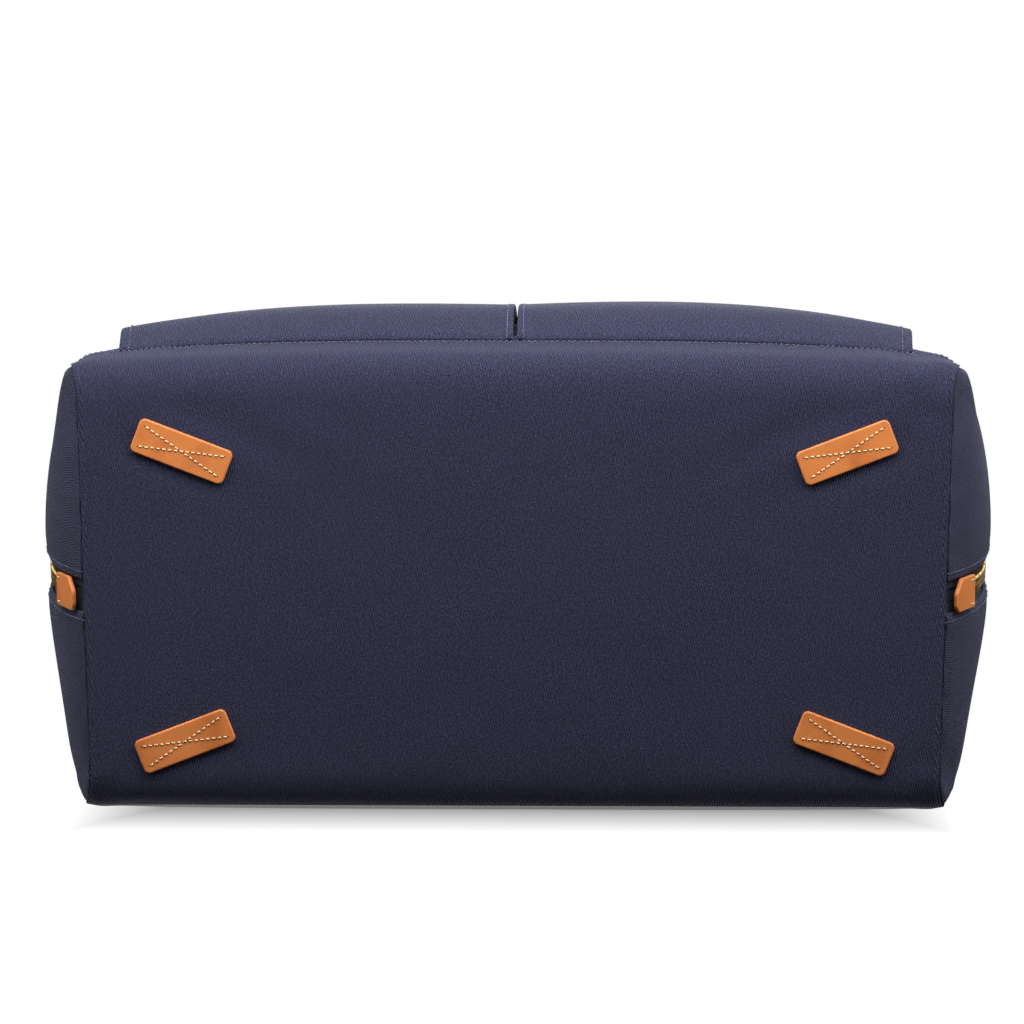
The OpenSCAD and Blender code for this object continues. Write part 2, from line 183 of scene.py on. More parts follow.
class Shader:
    """A material under construction, with short calls for its nodes."""

    def __init__(self, name):
        self.material = bpy.data.materials.new(name)
        self.material.use_nodes = True
        self.nodes = self.material.node_tree.nodes
        self.links = self.material.node_tree.links
        self.bsdf = self.nodes["Principled BSDF"]

    def node(self, kind, inputs=None, **settings):
        made = self.nodes.new(kind)
        for key, value in settings.items():
            setattr(made, key, value)
        for key, value in (inputs or {}).items():
            self.put(value, made.inputs[key])
        return made

    def put(self, value, socket):
        if isinstance(value, bpy.types.NodeSocket):
            self.links.new(value, socket)
        else:
            socket.default_value = value

    def math(self, operation, a, b=0.0, clamp=False):
        made = self.node("ShaderNodeMath", {0: a, 1: b}, operation=operation, use_clamp=clamp)
        return made.outputs[0]

    def noise(self, vector, scale, detail=2.0, rough=0.5):
        inputs = {"Vector": vector, "Scale": scale, "Detail": detail, "Roughness": rough}
        return self.node("ShaderNodeTexNoise", inputs).outputs["Fac"]

    def ramp(self, value, stops):
        made = self.node("ShaderNodeValToRGB", {"Fac": value})
        elements = made.color_ramp.elements
        while len(elements) < len(stops):
            elements.new(0.5)
        for element, (place, color) in zip(elements, stops):
            element.position = place
            element.color = (*color, 1)
        return made.outputs["Color"]

    def mix(self, factor, a, b, blend="MIX"):
        made = self.node("ShaderNodeMix", data_type="RGBA", blend_type=blend)
        for value, index in ((factor, 0), (a, 6), (b, 7)):
            self.put((*value, 1) if isinstance(value, tuple) else value, made.inputs[index])
        return made.outputs[2]

    def bump(self, height, distance, strength=1.0, normal=None):
        inputs = {"Height": height, "Distance": distance, "Strength": strength}
        if normal is not None:
            inputs["Normal"] = normal
        return self.node("ShaderNodeBump", inputs).outputs["Normal"]

    def finish(self, **values):
        for key, value in values.items():
            self.put(value, self.bsdf.inputs[key.replace("_", " ")])
        return self.material


def srgb(red, green, blue):
    """Linear colour from an sRGB one with channels up to 255."""
    shares = [c / 255 for c in (red, green, blue)]
    return tuple(((c + 0.055) / 1.055) ** 2.4 if c > 0.04 else c / 12.92 for c in shares)


def place_of(shader):
    """Position on the object, which moves with it."""
    return shader.node("ShaderNodeTexCoord").outputs["Object"]


def wave(shader, phase):
    """Sine of a phase, between 0 and 1."""
    return shader.math("ADD", shader.math("MULTIPLY", shader.math("SINE", phase), 0.5), 0.5)


def weave_axes(shader):
    """The flat cloth coordinates of a sheet: the vector, its part across and its part along."""
    weave = shader.node("ShaderNodeAttribute", attribute_name="weave").outputs["Vector"]
    split = shader.node("ShaderNodeSeparateXYZ", {0: weave})
    return weave, split.outputs[0], split.outputs[1]


def twill(name, yarn, painted_groove_shade, sheen, rib=0.00150, yarn_pitch=0.00105, lean=-13.0, relief=0.00060):
    """Cotton twill: steep ribs built of single yarn floats, with uneven yarn and slow changes of tone; its
    colour holds painted shade in the grooves between ribs and painted highlight specks on the floats.
    """
    s = Shader(name)
    weave, across, along = weave_axes(s)
    wobble = s.math("MULTIPLY", s.math("SUBTRACT", s.noise(weave, 130.0), 0.5), rib * 0.8)
    slant = math.tan(math.radians(lean))
    place = s.math("ADD", s.math("ADD", across, s.math("MULTIPLY", along, slant)), wobble)
    phase = s.math("MULTIPLY", place, 2 * math.pi / rib)
    ribs = wave(s, phase)
    along_phase = s.math("MULTIPLY", along, 2 * math.pi / yarn_pitch)
    floats = wave(s, s.math("ADD", along_phase, s.math("MULTIPLY", phase, 0.5)))
    height = s.math("ADD", s.math("MULTIPLY", ribs, 0.85), s.math("MULTIPLY", floats, 0.15))
    fleck_bump_and_glint = s.noise(weave, 900.0, 1.0)
    cloud = s.noise(weave, 9.0, 3.0, 0.6)
    # Colour runs from the yarn colour on the rib tops to painted shade in the grooves between them.
    base = s.mix(s.math("POWER", height, 2.4), painted_groove_shade, yarn)
    # Bright specks: painted highlights on the yarn floats; the same noise also adds to the bump.
    base = s.mix(s.math("MULTIPLY", s.math("SUBTRACT", fleck_bump_and_glint, 0.40, True), 1.7, True), base,
                 tuple(min(1.0, c * 2.1) for c in yarn))
    base = s.mix(s.math("MULTIPLY", cloud, 0.5), base, (yarn[0] * 0.76, yarn[1] * 0.66, yarn[2] * 0.66))
    pucker = s.noise(weave, 38.0, 2.0)
    normal = s.bump(pucker, 0.0009, 0.35)
    normal = s.bump(s.math("ADD", height, s.math("MULTIPLY", fleck_bump_and_glint, 0.35)), relief, 1.0, normal)
    return s.finish(Base_Color=base, Roughness=0.86, Specular_IOR_Level=0.22, Sheen_Weight=sheen,
                    Sheen_Roughness=0.45, Sheen_Tint=(0.75, 0.8, 1.0, 1), Normal=normal)


def leather(name, light, dark, rough=0.46, scale=1.0):
    """Smooth vegetable-tanned leather with fine grain, pores and soft colour clouds."""
    s = Shader(name)
    at = place_of(s)
    cloud = s.noise(at, 42.0 * scale, 4.0, 0.55)
    fine = s.noise(at, 420.0 * scale, 3.0, 0.6)
    pores = {"Vector": at, "Scale": 1150.0 * scale}
    cells = s.node("ShaderNodeTexVoronoi", pores, feature="DISTANCE_TO_EDGE")
    cracks = s.math("MULTIPLY", cells.outputs["Distance"], 3.2, True)
    base = s.ramp(cloud, [(0.25, dark), (0.52, light), (0.85, tuple(min(1.0, c * 1.12) for c in light))])
    base = s.mix(s.math("MULTIPLY", s.math("SUBTRACT", 1.0, cracks), 0.16), base, dark)
    shine = s.math("ADD", s.math("MULTIPLY", fine, 0.22), rough - 0.08)
    height = s.math("ADD", s.math("MULTIPLY", cracks, 0.6), s.math("MULTIPLY", fine, 0.5))
    normal = s.bump(cloud, 0.0006, 0.3)
    normal = s.bump(height, 0.00010, 0.8, normal)
    return s.finish(Base_Color=base, Roughness=shine, Specular_IOR_Level=0.45, Normal=normal)


def thread(name, color, shade):
    """Twisted sewing thread."""
    s = Shader(name)
    at = place_of(s)
    inputs = {"Vector": at, "Scale": 420.0, "Distortion": 1.5}
    twist = s.node("ShaderNodeTexWave", inputs, bands_direction="DIAGONAL").outputs["Fac"]
    base = s.mix(twist, shade, color)
    normal = s.bump(twist, 0.00012, 0.7)
    return s.finish(Base_Color=base, Roughness=0.72, Sheen_Weight=0.15, Normal=normal)


def metal(name, light, dark, rough=0.3):
    """Aged brass: darker and duller in patches, with fine scratches."""
    s = Shader(name)
    at = place_of(s)
    patches = s.noise(at, 160.0, 4.0, 0.6)
    stretched = s.node("ShaderNodeMapping", {"Vector": at, "Scale": (1400.0, 300.0, 900.0)}).outputs[0]
    scratch = s.noise(stretched, 1.0, 2.0)
    base = s.ramp(patches, [(0.3, dark), (0.62, light)])
    shine = s.math("ADD", s.math("MULTIPLY", patches, -0.25), rough + 0.18)
    normal = s.bump(scratch, 0.00003, 0.5)
    return s.finish(Base_Color=base, Metallic=1.0, Roughness=shine, Normal=normal)


def plain_weave(name, light, dark, pitch=0.0011, relief=0.00014):
    """Plain woven cloth: over and under in both directions."""
    s = Shader(name)
    weave, across, along = weave_axes(s)
    waves = [s.math("SINE", s.math("MULTIPLY", axis, 2 * math.pi / pitch)) for axis in (across, along)]
    check = s.math("ADD", s.math("MULTIPLY", s.math("MULTIPLY", waves[0], waves[1]), 0.5), 0.5)
    cloud = s.noise(weave, 30.0, 3.0)
    base = s.mix(check, dark, light)
    base = s.mix(s.math("MULTIPLY", cloud, 0.35), base, dark)
    normal = s.bump(check, relief, 0.9)
    return s.finish(Base_Color=base, Roughness=0.9, Specular_IOR_Level=0.2, Sheen_Weight=0.1, Normal=normal)


def board_material():
    """Grey pressed board."""
    s = Shader("pressed_board")
    at = place_of(s)
    fibres = s.noise(at, 300.0, 4.0, 0.7)
    base = s.ramp(fibres, [(0.3, (0.14, 0.13, 0.11)), (0.7, (0.24, 0.22, 0.19))])
    return s.finish(Base_Color=base, Roughness=0.9, Normal=s.bump(fibres, 0.0003, 0.6))


YARN = srgb(57, 59, 88)
# Dark groove colour of the twill: painted shade.
YARN_GROOVE_PAINTED_SHADE = srgb(9, 9, 17)
canvas = twill("navy_twill", YARN, YARN_GROOVE_PAINTED_SHADE, 0.12)
lining_cloth = plain_weave("lining_cotton", srgb(196, 182, 150), srgb(160, 145, 112))
tape_cloth = plain_weave("zip_tape", srgb(34, 36, 58), srgb(16, 17, 30), pitch=0.0013)
tan = leather("tan_leather", srgb(222, 133, 69), srgb(188, 103, 48))
cream_thread = thread("cream_thread", srgb(247, 232, 196), srgb(214, 190, 142))
navy_thread = thread("navy_thread", srgb(98, 102, 136), srgb(46, 48, 74))
brass = metal("aged_brass", srgb(214, 174, 98), srgb(122, 88, 40))
# Dark brown of the needle holes: painted shade in the holes.
painted_hole_shade = thread("needle_hole", srgb(70, 34, 18), srgb(40, 20, 12))
board = board_material()


# ---------- The shape of the bag ----------

def end_path():
    """The end's outline from the base seam up and over to the folding part, as [x, z] for x > 0."""
    t = np.linspace(0, 1, 200)
    flare = bend_point([BASE_HALF, BASE_Z], [BODY_HALF, FLARE_Z], [BODY_HALF, WIDEST_Z], t)
    corner = bend_point([BODY_HALF, WIDEST_Z], [BODY_HALF, TOP_Z], [TOP_RUN, TOP_Z], t)
    return np.concatenate([flare, corner[1:]])


def depth_curve(depth, swell):
    """Distance of front or back from the plane of the zip, from the lower rounding up, as [depth, z]."""
    belly = [(depth + TOP_DEPTH) / 2 + 2 * swell, BELLY_Z]
    return bend_point([depth, BASE_Z + EDGE_ROUND], belly, [TOP_DEPTH, TOP_Z], np.linspace(0, 1, 200))


PATH = end_path()
FRONT_CURVE = depth_curve(FRONT_DEPTH, FRONT_SWELL)
BACK_CURVE = depth_curve(BACK_DEPTH, BACK_SWELL)


def half_width(z):
    """Half the length of the bag at height z."""
    return np.interp(z, PATH[:, 1], PATH[:, 0])


def edge_drop(z):
    """How much of the round lower edge is cut away from the depth at height z."""
    t = np.sqrt(np.clip((np.asarray(z, float) - BASE_Z) / EDGE_ROUND, 0, 1))
    return EDGE_ROUND * (1 - t) ** 2


def depth_at(z, front):
    """Depth of the front or back at the middle of the bag, at height z."""
    curve = FRONT_CURVE if front else BACK_CURVE
    heel = (FRONT_HEEL if front else BACK_HEEL) * (1 - smooth(z, SEAM_Z, BELLY_Z))
    return np.interp(z, curve[:, 1], curve[:, 0]) - edge_drop(z) + heel


def fullness(z):
    """How far the walls swell between their seams: least at the base and less at the top."""
    z = np.asarray(z, float)
    return smooth(z, 0.0, 0.11) * (1 - 0.45 * smooth(z, 0.20, TOP_Z))


def front_drop(s, z, front):
    """How far front or back stand back at s, from -1 to 1 along the bag, from their middle."""
    if front:
        return (0.006 + FRONT_DROP * fullness(z)) * np.abs(s) ** 3.2
    return (0.0015 + BACK_DROP * fullness(z)) * np.abs(s) ** 4.0


def end_drop(q, z):
    """How far an end stands back at q, from -1 at the front to 1 at the back, from its middle."""
    q = np.asarray(q, float)
    front = END_FRONT_DROP * np.abs(q) ** 2.5
    back = END_BACK_DROP * np.abs(q) ** 1.8
    return np.where(q < 0, front, back) * fullness(z)


def corner_pull(distance):
    """How far a wall is drawn in near an edge, so that the edge is soft."""
    return EDGE_PULL * SOFT_EDGE * np.clip(1 - distance / SOFT_EDGE, 0, 1) ** 2


def seam_point(x_half, z, front):
    """Where the seam between front or back and the right end lies at height z."""
    drop = front_drop(1.0, z, front)
    return x_half - end_drop(-1.0 if front else 1.0, z), depth_at(z, front) - drop


def face_point(s, x_half, z, front):
    """Point of the front or back panel, or of the wrapped edge of the base."""
    seam_x, _ = seam_point(x_half, z, front)
    soft = smooth(z, BASE_Z, SEAM_Z)
    near_end = corner_pull((1 - abs(s)) * seam_x) * soft
    near_top = corner_pull(TOP_Z - z)
    depth = depth_at(z, front) - front_drop(s, z, front) - near_end - near_top
    x = s * (seam_x - EDGE_PULL * SOFT_EDGE * soft * abs(s) ** 12)
    lift = -EDGE_PULL * SOFT_EDGE * np.clip(1 - (TOP_Z - z) / SOFT_EDGE, 0, 1)
    return [x, ZIP_Y + (-depth if front else depth), z + lift]


def end_point(side, x_half, z, q, depth_front, depth_back):
    """Point of an end, or of the flat top beyond the folding part."""
    depth = depth_front if q < 0 else depth_back
    y = q * depth
    pull = corner_pull(depth - abs(y))
    soft = smooth(z, BASE_Z, SEAM_Z)
    on_top = smooth(z, WIDEST_Z + 0.03, TOP_Z)
    drop = end_drop(q, z) * min(1.0, x_half / TOP_RUN)
    x = x_half - drop - pull * soft * (1 - on_top)
    height = z - pull * on_top
    return [side * x, ZIP_Y + y, height]


LOW_STEPS = np.linspace(0, 1, 6)


def build_rows():
    """Rows [x, z] up an end: close together round the lower edge, then even steps to the folding part."""
    low_z = BASE_Z + EDGE_ROUND * LOW_STEPS ** 2
    low = [[half_width(z), z] for z in [*low_z, HEM_Z, SEAM_Z]]
    above = PATH[PATH[:, 1] > SEAM_Z]
    above = resample(np.concatenate([[low[-1]], above]), STEP)[1:]
    top = [[x, TOP_Z] for x in np.linspace(TOP_RUN, FLAP_HALF, 5)[1:]]
    return np.array(low), np.array(above), np.array(top)


LOW_ROWS, HIGH_ROWS, TOP_ROWS = build_rows()
SEAM_ROWS = np.concatenate([LOW_ROWS, HIGH_ROWS])
FLAP_SHARE = FLAP_HALF / TOP_RUN
SIDE_SHARES = [row[0] / TOP_RUN for row in TOP_ROWS[:-1]]
FLAP_SHARES = list(np.linspace(-FLAP_SHARE, FLAP_SHARE, 45))
COLUMNS = np.array([-1.0] + [-s for s in SIDE_SHARES] + FLAP_SHARES + SIDE_SHARES[::-1] + [1.0])
MIDDLE = 15


def y_columns(depth_front, depth_back):
    """Y distances from the zip plane of the columns across an end, with a recess of fixed width."""
    front = np.linspace(-depth_front, -ZIP_HALF, MIDDLE)
    back = np.linspace(ZIP_HALF, depth_back, MIDDLE)
    return np.concatenate([front, [0.0], back])


def across(x_half, z):
    """Depths of front and back where they meet an end, and the y distances of the columns between them."""
    depth_front, depth_back = (seam_point(x_half, z, front)[1] for front in (True, False))
    return depth_front, depth_back, y_columns(depth_front, depth_back)


def end_grid(side):
    """An end with the top beyond the folding part, row by row from the base seam."""
    grid = []
    for x_half, z in np.concatenate([SEAM_ROWS, TOP_ROWS]):
        depth_front, depth_back, ys = across(x_half, z)
        row = []
        for y in ys:
            q = y / (depth_front if y < 0 else depth_back)
            row.append(end_point(side, x_half, z, q, depth_front, depth_back))
        grid.append(row)
    grid = np.array(grid)
    for j, front in ((0, True), (-1, False)):
        for i, (x_half, z) in enumerate(SEAM_ROWS):
            grid[i, j] = face_point(side, x_half, z, front)
        for i, (x_half, z) in enumerate(TOP_ROWS, len(SEAM_ROWS)):
            grid[i, j] = face_point(side * x_half / TOP_RUN, TOP_RUN, z, front)
    return grid


def face_grid(front):
    """Front or back panel, row by row from the base seam up."""
    rows = np.concatenate([LOW_ROWS[-1:], HIGH_ROWS])
    return np.array([[face_point(s, x_half, z, front) for s in COLUMNS] for x_half, z in rows])


def top_grid():
    """The folding part of the top, column by column of the face panels."""
    grid = []
    for share in [s for s in COLUMNS if abs(s) <= FLAP_SHARE + 1e-9]:
        front, back = (face_point(share, TOP_RUN, TOP_Z, face) for face in (True, False))
        depth_front, depth_back = ZIP_Y - front[1], back[1] - ZIP_Y
        row = []
        for y in y_columns(depth_front, depth_back):
            q = y / (depth_front if y < 0 else depth_back)
            to_edge = min(y + depth_front, depth_back - y)
            x = share * (TOP_RUN - end_drop(q, TOP_Z))
            row.append([x, ZIP_Y + y, TOP_Z - corner_pull(to_edge)])
        row[0], row[-1] = front, back
        grid.append(row)
    return np.array(grid)


def base_grid():
    """The base, from its seam on the front round the lower edges to its seam on the back."""
    front = [[face_point(s, x_half, z, True) for s in COLUMNS] for x_half, z in LOW_ROWS[::-1]]
    back = [[face_point(s, x_half, z, False) for s in COLUMNS] for x_half, z in LOW_ROWS]
    floor_front, floor_back = np.array(front[-1]), np.array(back[0])
    ys = across(*LOW_ROWS[0])[2]
    span = (ys - ys[0]) / (ys[-1] - ys[0])
    middle = [floor_front * (1 - t) + floor_back * t for t in span[1:-1]]
    return np.array(front + [list(m) for m in middle] + back)


GRIDS = {
    "base": base_grid(),
    "front": face_grid(True),
    "back": face_grid(False),
    "left": end_grid(-1),
    "right": end_grid(1),
    "top": top_grid(),
}


WELD_REACH = 0.0005


def weld(grids):
    """All grids as one mesh: its points, its faces and each grid's point numbers."""
    points, faces, numbers, found = [], [], {}, {}
    for name, grid in grids.items():
        ids = np.empty(grid.shape[:2], int)
        for place in np.ndindex(ids.shape):
            key = tuple(np.round(grid[place] / WELD_REACH).astype(int))
            if key not in found:
                found[key] = len(points)
                points.append(grid[place])
            ids[place] = found[key]
        numbers[name] = ids
        flat = ids.ravel()
        for quad in grid_faces(*ids.shape, flip=faces_inwards(grid)):
            faces.append(tuple(int(flat[k]) for k in quad))
    return np.array(points), faces, numbers


def faces_inwards(grid):
    """True where a grid's faces, taken row by row, would look into the bag."""
    i, j = grid.shape[0] // 2, grid.shape[1] // 4
    normal = np.cross(grid[i, j + 1] - grid[i, j], grid[i + 1, j] - grid[i, j])
    return float(np.dot(normal, grid[i, j] - np.array([0, ZIP_Y, TOP_Z / 2]))) < 0


def sewn_points(numbers):
    """Numbers of the points along the seams and the edges of the zip, which hold still."""
    held = set()
    for name, ids in numbers.items():
        held.update(ids[0].tolist() + ids[-1].tolist() + ids[:, 0].tolist() + ids[:, -1].tolist())
        if name in ("left", "right", "top"):
            held.update(ids[:, MIDDLE - 1:MIDDLE + 2].ravel().tolist())
    return held


MOVE_LIMITS = {"left": 0.002, "right": 0.002, "front": 0.0013, "back": 0.0035, "top": 0.003, "base": 0.0008}
SETTLE_STEPS = 20


def move_limits(numbers, count):
    """How far the cloth may move at each point; where panels meet, the last one's limit counts."""
    limits = np.zeros(count)
    for name, most in MOVE_LIMITS.items():
        limits[numbers[name].ravel()] = most
    return limits


def settle(points, faces, numbers):
    """The shell filled out by cloth simulation between its seams."""
    obj = new_object("shell_cloth", points, faces, canvas)
    held = obj.vertex_groups.new(name="sewn")
    held.add(sorted(sewn_points(numbers)), 1.0, "REPLACE")
    cloth = obj.modifiers.new("Cloth", "CLOTH")
    settings = cloth.settings
    settings.vertex_group_mass = "sewn"
    settings.use_pressure = True
    settings.uniform_pressure_force = 3.0
    settings.shrink_min = -0.022
    settings.quality = 5
    settings.mass = 0.25
    settings.tension_stiffness = 18
    settings.compression_stiffness = 10
    settings.shear_stiffness = 6
    settings.bending_stiffness = 0.6
    settings.effector_weights.gravity = 0
    cloth.collision_settings.use_collision = False
    scene = bpy.context.scene
    cloth.point_cache.frame_end = SETTLE_STEPS
    for step in range(1, SETTLE_STEPS + 1):
        scene.frame_set(step)
    graph = bpy.context.evaluated_depsgraph_get()
    moved = np.empty(len(points) * 3)
    obj.evaluated_get(graph).data.vertices.foreach_get("co", moved)
    scene.frame_set(1)
    bpy.data.objects.remove(obj)
    shift = moved.reshape(-1, 3) - points
    length = np.linalg.norm(shift, axis=1, keepdims=True)
    most = move_limits(numbers, len(points))[:, None]
    return points + shift / np.maximum(length, 1e-9) * most * np.tanh(length / most)


def bell(x, middle, width):
    """1 at the middle, falling off smoothly over the width."""
    return math.exp(-((x - middle) / width) ** 2)


def soft_waves(x, y):
    """Height of the base's soft waves: low folds that run in from the front corners, and slow unevenness."""
    slow = 0.0007 * noise.noise(Vector((x, y, 0.0)) * 11.0) + 0.0004 * noise.noise(Vector((x, y, 1.0)) * 27.0)
    near_corner = bell(abs(x), 0.20, 0.07) * bell(y, 0.045 - FRONT_DEPTH, 0.03)
    return slow + 0.0011 * near_corner * math.sin(150.0 * (y + 0.55 * abs(x)))


def wave_base(grid):
    """Gives the flat part of the base its soft waves, which die out towards its edges."""
    for row in grid[len(LOW_ROWS):-len(LOW_ROWS)]:
        for point in row[1:-1]:
            y = point[1] - ZIP_Y
            to_edge = min(BASE_HALF - abs(point[0]), y + FRONT_DEPTH, BACK_DEPTH - y)
            point[2] -= soft_waves(point[0], y) * smooth(to_edge, 0.0, 0.05)


wave_base(GRIDS["base"])
for grid in GRIDS.values():
    grid[..., 0] *= 1 - TAPER * (grid[..., 1] - ZIP_Y) / BACK_DEPTH
SHELL, SHELL_FACES, NUMBERS = weld(GRIDS)
SHELL = settle(SHELL, SHELL_FACES, NUMBERS)


def point_normals(points, faces):
    """Normal at each point of a mesh, from the faces round it."""
    quads = points[np.array(faces)]
    normals = np.cross(quads[:, 2] - quads[:, 0], quads[:, 3] - quads[:, 1])
    total = np.zeros_like(points)
    for k in range(4):
        np.add.at(total, np.array(faces)[:, k], normals)
    return unit(total)


SHELL_NORMALS = point_normals(SHELL, SHELL_FACES)
SKIN = {name: SHELL[ids] for name, ids in NUMBERS.items()}
NORMALS = {name: SHELL_NORMALS[ids] for name, ids in NUMBERS.items()}
END_FRONT, END_BACK = np.s_[:, :MIDDLE], np.s_[:, MIDDLE + 1:]


# ---------- Sewing: panels, seams and stitches ----------

def outward(grid):
    """Normals of a grid that look out of the bag."""
    normals = grid_normals(grid)
    return -normals if faces_inwards(grid) else normals


def weave_of(grid):
    """Flat cloth coordinates of a grid: distances along its rows and columns from its middle."""
    along = np.linalg.norm(np.diff(grid, axis=0), axis=2)
    across = np.linalg.norm(np.diff(grid, axis=1), axis=2)
    v = np.concatenate([np.zeros((1, grid.shape[1])), np.cumsum(along, axis=0)])
    u = np.concatenate([np.zeros((grid.shape[0], 1)), np.cumsum(across, axis=1)], axis=1)
    middle = grid.shape[1] // 2
    u = u - u[:, middle:middle + 1]
    v = v.mean(axis=1, keepdims=True) + 0 * v
    if faces_inwards(grid) != faces_inwards(GRIDS["base"]):
        v = -v
    return np.stack([u, v], axis=2)


def from_edge(grid, edge):
    """A grid turned so that the named edge is its first row, and the way to turn it back."""
    if edge == "low":
        return grid, lambda g: g
    if edge == "high":
        return grid[::-1], lambda g: g[::-1]
    if edge == "first":
        return np.swapaxes(grid, 0, 1), lambda g: np.swapaxes(g, 0, 1)
    return np.swapaxes(grid, 0, 1)[::-1], lambda g: np.swapaxes(g[::-1], 0, 1)


def at_distance(grid, distance):
    """Points at a distance from a grid's first row, along its columns."""
    steps = np.linalg.norm(np.diff(grid, axis=0), axis=2)
    lengths = np.concatenate([np.zeros((1, grid.shape[1])), np.cumsum(steps, axis=0)])
    row = np.empty((grid.shape[1], 3))
    for j in range(grid.shape[1]):
        for k in range(3):
            row[j, k] = np.interp(distance, lengths[:, j], grid[:, j, k])
    return row


SEAM_WIDTH = 0.0024
SEAM_DEPTH = 0.0011
CREASE_LIP = 0.0004
FOLD_ROUND = 0.0011


def folded_rows(edge, inwards, n):
    """Rows of cloth that comes out from under itself and round the fold at an edge."""
    places = ((3.0, -2.2), (0.5, -2.1), (0.0, -1.0), (0.5, -0.15))
    return [edge + (inwards * along + n * out) * FOLD_ROUND for along, out in places]


def finish_edge(grid, normals, edge, kind):
    """A grid with one edge drawn into its seam, creased beside it, or folded under along the zip."""
    turned, back = from_edge(grid, edge)
    turned_normals, _ = from_edge(normals, edge)
    near = at_distance(turned, SEAM_WIDTH)
    n = turned_normals[0]
    sunk = turned[0] - n * SEAM_DEPTH
    rows = {
        "seam": [sunk],
        "crease": [sunk, turned[0] + n * CREASE_LIP],
        "fold": folded_rows(turned[0], unit(near - turned[0]), n),
    }[kind] + [near]
    new_normals = np.concatenate([np.repeat(turned_normals[:1], len(rows), axis=0), turned_normals[1:]])
    return back(np.concatenate([np.array(rows), turned[1:]])), back(new_normals)


def apply_modifiers(obj):
    """Turns an object's modifiers into its mesh."""
    graph = bpy.context.evaluated_depsgraph_get()
    final = obj.evaluated_get(graph)
    mesh = bpy.data.meshes.new_from_object(final, preserve_all_data_layers=True, depsgraph=graph)
    obj.modifiers.clear()
    obj.data = mesh


FOLDS = {"front_top": "front_flap_fold", "back_top": "back_flap_fold"}


def follow(obj, body):
    """Lets a piece ride on its body; cloth of the folding top is attached to no body, its transform is only
    baked into its mesh.
    """
    if body not in FOLDS:
        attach(obj, body)
        return
    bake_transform(obj)


def cloth_panel(name, grid, normals, material, edges, body="bag", stands_for=(),
                thickness=CLOTH, levels=1):
    """A panel of cloth with thickness, from a grid of points on its outer side."""
    inwards = faces_inwards(grid)
    for edge, kind in edges.items():
        grid, normals = finish_edge(grid, normals, edge, kind)
    obj = new_object(name, grid.reshape(-1, 3), grid_faces(*grid.shape[:2], flip=inwards), material)
    set_weave(obj, weave_of(grid))
    add_modifier(obj, "SOLIDIFY", thickness=thickness, offset=-1.0)
    add_modifier(obj, "SUBSURF", levels=levels, render_levels=levels, boundary_smooth="PRESERVE_CORNERS")
    apply_modifiers(obj)
    if stands_for:
        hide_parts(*stands_for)
    follow(obj, body)
    return obj


class Pile:
    """Many small pieces that become one mesh."""

    def __init__(self):
        self.points = []
        self.faces = []

    def add(self, points, faces):
        start = len(self.points)
        self.points.extend(points)
        self.faces.extend(tuple(start + k for k in face) for face in faces)

    def build(self, name, material, body, slot, stands_for=()):
        obj = new_object(name, self.points, self.faces, material)
        if stands_for:
            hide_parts(*stands_for)
        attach(obj, body)
        return obj


def tube_faces(rings, around):
    """Faces of a closed tube of rings, with both ends filled."""
    faces = grid_faces(rings, around, close=True)
    faces.append(tuple(range(around))[::-1])
    faces.append(tuple((rings - 1) * around + k for k in range(around)))
    return faces


def ring_faces(rings, around):
    """Faces of a tube whose rings turn the other way round."""
    return [face[::-1] for face in tube_faces(rings, around)]


def stitch(pile, start, end, normal, radius):
    """One stitch: a short thread that rises from its first hole and dives into its second."""
    along = unit(end - start)
    side = np.cross(normal, along)
    points = []
    for t in (0.0, 0.12, 0.35, 0.65, 0.88, 1.0):
        rise = radius * (1.5 * math.sin(math.pi * t) ** 0.6 - 0.8)
        r = radius * (0.62 + 0.38 * math.sin(math.pi * t))
        centre = start + (end - start) * t + normal * rise
        for k in range(6):
            angle = k * math.pi / 3
            points.append(centre + (side * math.cos(angle) + normal * math.sin(angle) * 0.85) * r)
    pile.add(points, ring_faces(6, 6))


def stitch_row(pile, path, normals, pitch=0.0034, share=0.76, radius=0.00042, wander=0.00012):
    """Stitches in a row along a path on the surface."""
    both = resample(np.concatenate([path, normals], axis=1), pitch)
    spots, ups = both[:, :3], unit(both[:, 3:])
    for a, b, up in zip(spots[:-1], spots[1:], ups[:-1]):
        gap = (b - a) * (1 - share) / 2
        sideways = unit(np.cross(up, b - a)) * rng.uniform(-wander, wander)
        stitch(pile, a + gap + sideways, b - gap - sideways, up, radius)


def edge_stitches(pile, grid, edge, distance, **values):
    """A row of stitches at a distance from one edge of a grid."""
    turned, _ = from_edge(grid, edge)
    up, _ = from_edge(outward(grid), edge)
    stitch_row(pile, at_distance(turned, distance), up[1], **values)


# ---------- Canvas panels ----------

BASE_EDGES = {"low": "seam", "high": "seam", "first": "crease", "last": "crease"}
FACE_EDGES = {"low": "seam", "high": "seam", "first": "seam", "last": "seam"}
END_EDGES = {
    "front": {"low": "seam", "first": "seam", "last": "fold"},
    "back": {"low": "seam", "first": "fold", "last": "seam"},
}
TOP_EDGES = {
    "front": {"first": "seam", "last": "fold"},
    "back": {"first": "fold", "last": "seam"},
}
HALVES = {"front": END_FRONT, "back": END_BACK}
ZIP_EDGE = {"front": "last", "back": "first"}
BASE_STITCHES = 0.0034
FACE_STITCHES = 0.0042
ZIP_STITCHES = 0.0050

